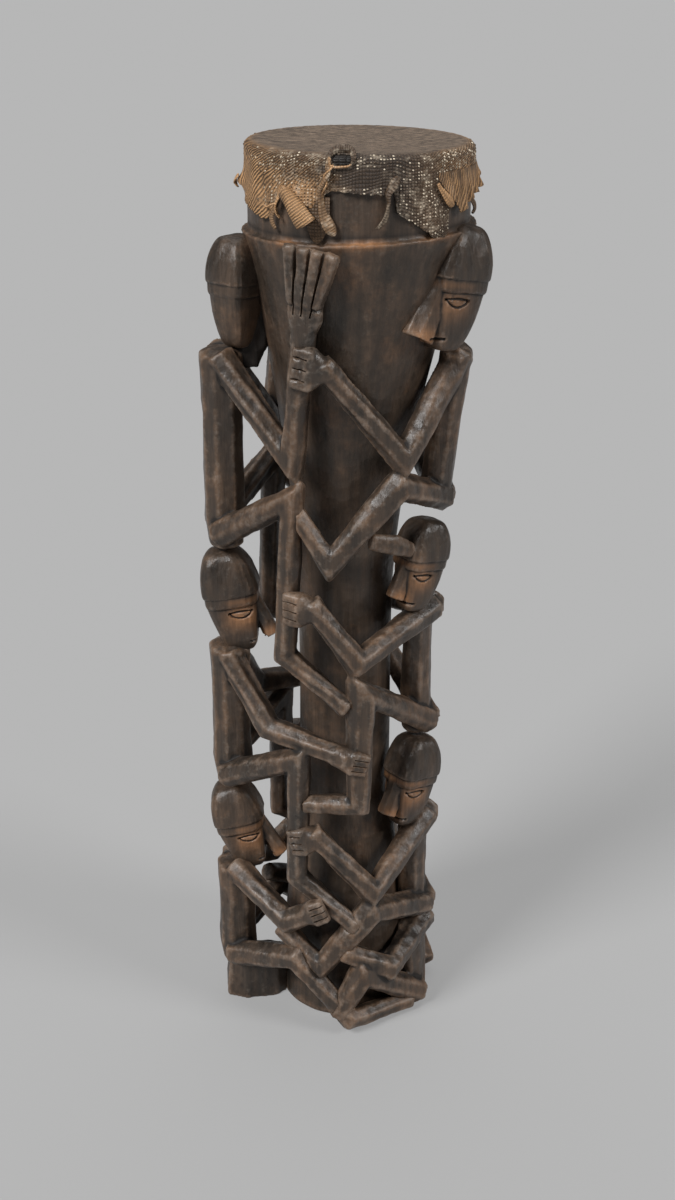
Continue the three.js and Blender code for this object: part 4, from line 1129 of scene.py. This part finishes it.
for figure, (wrist_joint, tip_joint, spread, pitch, slit_start) in hands.items():
    side = -1 if figure.startswith("left") else 1
    palms = bmesh.new()
    slits = bmesh.new()
    for behind in (False, True):
        wrist = joint_point(side, wrist_joint, behind)
        tip = joint_point(side, tip_joint, behind)
        along = tip - wrist
        out = outwards(wrist)
        across = along.normalized().cross(out).normalized()
        out = across.cross(along.normalized())
        half = 2 * pitch
        add_loft(palms, [
            oval_ring(wrist + along * way, across, out, half_width, half_depth)
            for way, half_width, half_depth in (
                (-0.16, arm_half_width * 0.94, palm_depth), (0.08, arm_half_width, palm_depth),
                (slit_start * 0.75, half * 0.98, knuckle_depth), (slit_start + 0.06, half, finger_depth),
            )
        ])
        # Three slits between four fingers, each wider outwards and towards the tips.
        for slit in (-1, 0, 1):
            offset = slit * pitch
            start = wrist + along * slit_start + across * offset
            end = tip + along * 0.3 + across * offset * (1 + spread * 1.3)
            way = (end - start).normalized()
            edge = way.cross(out).normalized()
            add_loft(slits, [
                [
                    point + edge * (slit_bottom + splay) / 2 - out * 0.002,
                    point + edge * (slit_top + splay) / 2 + out * 0.02,
                    point - edge * (slit_top + splay) / 2 + out * 0.02,
                    point - edge * (slit_bottom + splay) / 2 - out * 0.002,
                ]
                for point, splay in (
                    (start + out * 0.004, 0.0), (start.lerp(end, 0.25), spread * 0.0008),
                    (end, spread * 0.0044),
                )
            ])
    nodes = [f"{figure}_{part}" for part in ("torso", "front_arm", "back_arm", "front_leg", "back_leg")]
    rough = joined_copies(figure, nodes, mesh_of(palms, "palms"))
    body = carved_form(
        f"{figure}_body", rough, figure_voxel, body_rounding, body_knife, mesh_of(slits, "slits"),
    )
    finished_wood(body, *nodes)

# The heads: each looks in towards the shell, with a cap down to the brow, a half-moon eye under a band of
# brow on each side, and a long tube for a nose. They are one with the torsos and run a little into them.
head_voxel = 0.0011
head_squareness = 4.2
head_rounding = 2
head_knife = (0.021, 0.002, 0.002, 0.0004)
nose_root = (0.15, 0.56)

# Level, back, front and half width of a head's outlines, as shares of its height.
cap_rows = (
    (0.585, -0.27, 0.276, 0.238), (0.64, -0.27, 0.27, 0.24), (0.73, -0.262, 0.25, 0.234),
    (0.83, -0.244, 0.222, 0.216), (0.92, -0.21, 0.178, 0.184), (0.975, -0.165, 0.13, 0.145),
    (1.0, -0.1, 0.07, 0.09),
)
face_rows = (
    (-0.02, -0.1, 0.13, 0.1), (0.03, -0.14, 0.165, 0.132), (0.12, -0.175, 0.19, 0.16),
    (0.28, -0.21, 0.205, 0.184), (0.45, -0.24, 0.222, 0.2), (0.62, -0.25, 0.23, 0.205),
)
brow_rows = (
    (0.47, -0.246, 0.238, 0.216), (0.49, -0.252, 0.25, 0.226), (0.6, -0.254, 0.255, 0.228),
)


def rough_head(height, nose):
    form = bmesh.new()
    forward, sideways = Vector((1, 0, 0)), Vector((0, 1, 0))
    for rows, steps in ((face_rows, 16), (brow_rows, 3), (cap_rows, 18)):
        add_loft(form, [
            oval_ring(
                Vector((height * (back + front) / 2, 0, height * level)), forward, sideways,
                height * (front - back) / 2, height * half, 32, head_squareness,
            )
            for level, back, front, half in filled_rows(rows, steps)
        ])
    root = Vector((nose_root[0], 0.0, nose_root[1])) * height
    tip = Vector((nose[0], 0.0, nose[1])) * height
    radius = height * nose[2]
    add_tube(form, [root.lerp(tip, way) for way in np.linspace(0, 1, 5)],
             [radius * share for share in (1.12, 1.02, 0.96, 1.0, 1.04)], 8)
    return mesh_of(form, "rough_head")


def pressed(points, normals, line, chosen, width, depth):
    """Points with a groove pressed in along a line that is seen from the side of a head."""
    flat = points[:, (0, 2)]
    away = np.ones(len(points))
    for start, end in zip(line, line[1:]):
        way = np.clip((flat - start) @ (end - start) / ((end - start) @ (end - start)), 0.0, 1.0)
        away = np.minimum(away, np.linalg.norm(flat - start - way[:, None] * (end - start), axis=1))
    return points - normals * (depth * np.exp(-(away / width) ** 4) * chosen)[:, None]


# The eye's middle and half width, and the drop and bend of its two lids, as shares of the head's height. The
# grooves' widths and depths are in metres.
eye_middle, eye_half = (0.075, 0.405), 0.108
lids = ((0.012, 0.9), (-0.058, 0.8))
lid_groove, mouth_groove, nose_bore = (0.0013, 0.0024), (0.0016, 0.003), 0.007
mouth_line = ((0.12, 0.075), (0.26, 0.07))


def cut_face(mesh, height, nose, cheeks):
    """Eyes, mouth and the bore of the nose."""
    points, normals = arrays_of(mesh)
    steps = np.linspace(-1, 1, 13)
    for cheek in cheeks:
        for drop, bend in lids:
            level = eye_middle[1] + drop * (1 - steps ** 2) ** bend
            line = np.stack([eye_middle[0] + eye_half * steps, level], -1) * height
            points = pressed(points, normals, line, points[:, 1] * cheek > 0.05 * height, *lid_groove)
    line = np.array(mouth_line) * height
    points = pressed(points, normals, line, points[:, 0] > 0.1 * height, *mouth_groove)
    root = np.array((nose_root[0], 0.0, nose_root[1])) * height
    tip = np.array((nose[0], 0.0, nose[1])) * height
    length = np.linalg.norm(tip - root)
    along = (tip - root) / length
    way = (points - root) @ along
    off = np.linalg.norm(points - root - way[:, None] * along, axis=1)
    end = np.exp(-(off / (height * nose[2] * 0.6)) ** 6) * (way > length * 0.9)
    set_points(mesh, points - along * (nose_bore * end)[:, None])


# Side, crown, chin, way round, reach, turn towards the viewer and tilt of each head; its nose, as how far the
# tip stands ahead and up, and its radius, as shares of the head's height; and how bare its face is worn.
heads = {
    "left_top": (-1, 0.909, 0.802, 0.0, 1.09, -42.0, -3.0, (0.3, 0.1, 0.08), 0.05),
    "left_middle": (-1, 0.579, 0.465, 0.0, 1.24, 10.0, 8.0, (0.31, 0.08, 0.08), 1.0),
    "left_bottom": (-1, 0.291, 0.184, 0.0, 1.22, 10.0, 12.0, (0.34, 0.04, 0.085), 0.9),
    "right_top": (1, 0.925, 0.806, 0.085, 1.13, 60.0, 10.0, (0.31, 0.06, 0.15), 0.5),
    "right_middle": (1, 0.618, 0.52, 0.1, 0.87, 62.0, 10.0, (0.27, 0.12, 0.1), 0.7),
    "right_bottom": (1, 0.355, 0.25, 0.08, 0.8, 62.0, 10.0, (0.27, 0.12, 0.1), 1.0),
}
for figure, (side, crown, chin, way, reach, turn, tilt, nose, bareness) in heads.items():
    height = drum_height * (crown - chin)
    head = carved_form(
        f"{figure}_head_form", rough_head(height, nose), head_voxel, head_rounding, head_knife,
    )
    cut_face(head.data, height, nose, (1,) if figure == "left_top" else (-1, 1))
    points, _ = arrays_of(head.data)
    ahead, aside, level = (points / height).T
    # The wood is worn bare at the cheeks, a little at the brow, and at the tip of the nose.
    cheek = np.exp(-((ahead - 0.09) / 0.14) ** 2 - ((level - 0.36) / 0.12) ** 2)
    cheek = cheek * eased(np.abs(aside), 0.08, 0.15)
    brow = np.exp(-((level - 0.53) / 0.035) ** 2) * eased(ahead, -0.1, 0.05) * 0.45
    nose_tip = np.exp(-(np.hypot(ahead - nose[0], level - nose[1]) / 0.09) ** 2)
    bare = np.maximum(cheek, brow) * bareness + nose_tip * min(bareness + 0.4, 1.0)
    store_mark(head.data, "bare", np.clip(bare, 0, 1))
    angle = way_round(side, way, False)
    place = joint_point(side, (way, chin, reach), False)
    matrix = (
        Matrix.Translation(place) @ Matrix.Rotation(math.radians(angle + 90 + side * turn), 4, "Z")
        @ Matrix.Translation((0, 0, height / 2)) @ Matrix.Rotation(math.radians(-tilt), 4, "Y")
        @ Matrix.Translation((0, 0, -height / 2))
    )
    head.data.transform(matrix)
    finished_wood(head, f"{figure}_head")

# Wood left standing between the top left head and the cone, with a ragged lower edge. Its rows are given by
# height and reach, as a joint's are, and by half the depth.
web_half_width = 0.0105
web_rounding = 3
web_knife = (0.011, 0.004, 0.006, 0.0)
web_rows = (
    (0.776, 0.98, 0.010), (0.792, 1.0, 0.017), (0.8, 0.97, 0.019), (0.83, 0.98, 0.022), (0.87, 1.02, 0.024),
    (0.9, 1.04, 0.024),
)
web = bmesh.new()
web_rings = []
for height, reach, half_depth in web_rows:
    point = joint_point(-1, (0, height, reach), False)
    out = outwards(point)
    web_rings.append(oval_ring(point, out.cross(Vector((0, 0, 1))), out, web_half_width, half_depth))
add_loft(web, web_rings)
web_form = carved_form("top_left_web", mesh_of(web, "web"), figure_voxel, web_rounding, web_knife)
finished_wood(web_form, "left_top_head")
# Its edge mark is set low all over: painted shade, which makes it near black.
store_mark(web_form.data, "edge", np.full(len(web_form.data.vertices), 0.3))

# The foot: two blocks of the log left standing under the columns, with the lowest pair of limbs beside the
# right one, and a leaf-shaped tab that stands out above the middle figure on the right.
foot_rounding = 8
foot_knife = (0.016, 0.002, 0.0026, 0.0008)
foot_nodes = (
    "left_foot_block", "right_foot_block", "base_arm_front", "base_arm_back", "base_leg_front",
    "base_leg_back",
)
for name, nodes in (("foot_blocks", foot_nodes), ("leaf", ("leaf_tab",))):
    block = carved_form(name, joined_copies(name, nodes), figure_voxel, foot_rounding, foot_knife)
    # No cut of the knife goes under the ground.
    points, _ = arrays_of(block.data)
    points[:, 2] = np.maximum(points[:, 2], 0.0)
    set_points(block.data, points)
    finished_wood(block, *nodes)
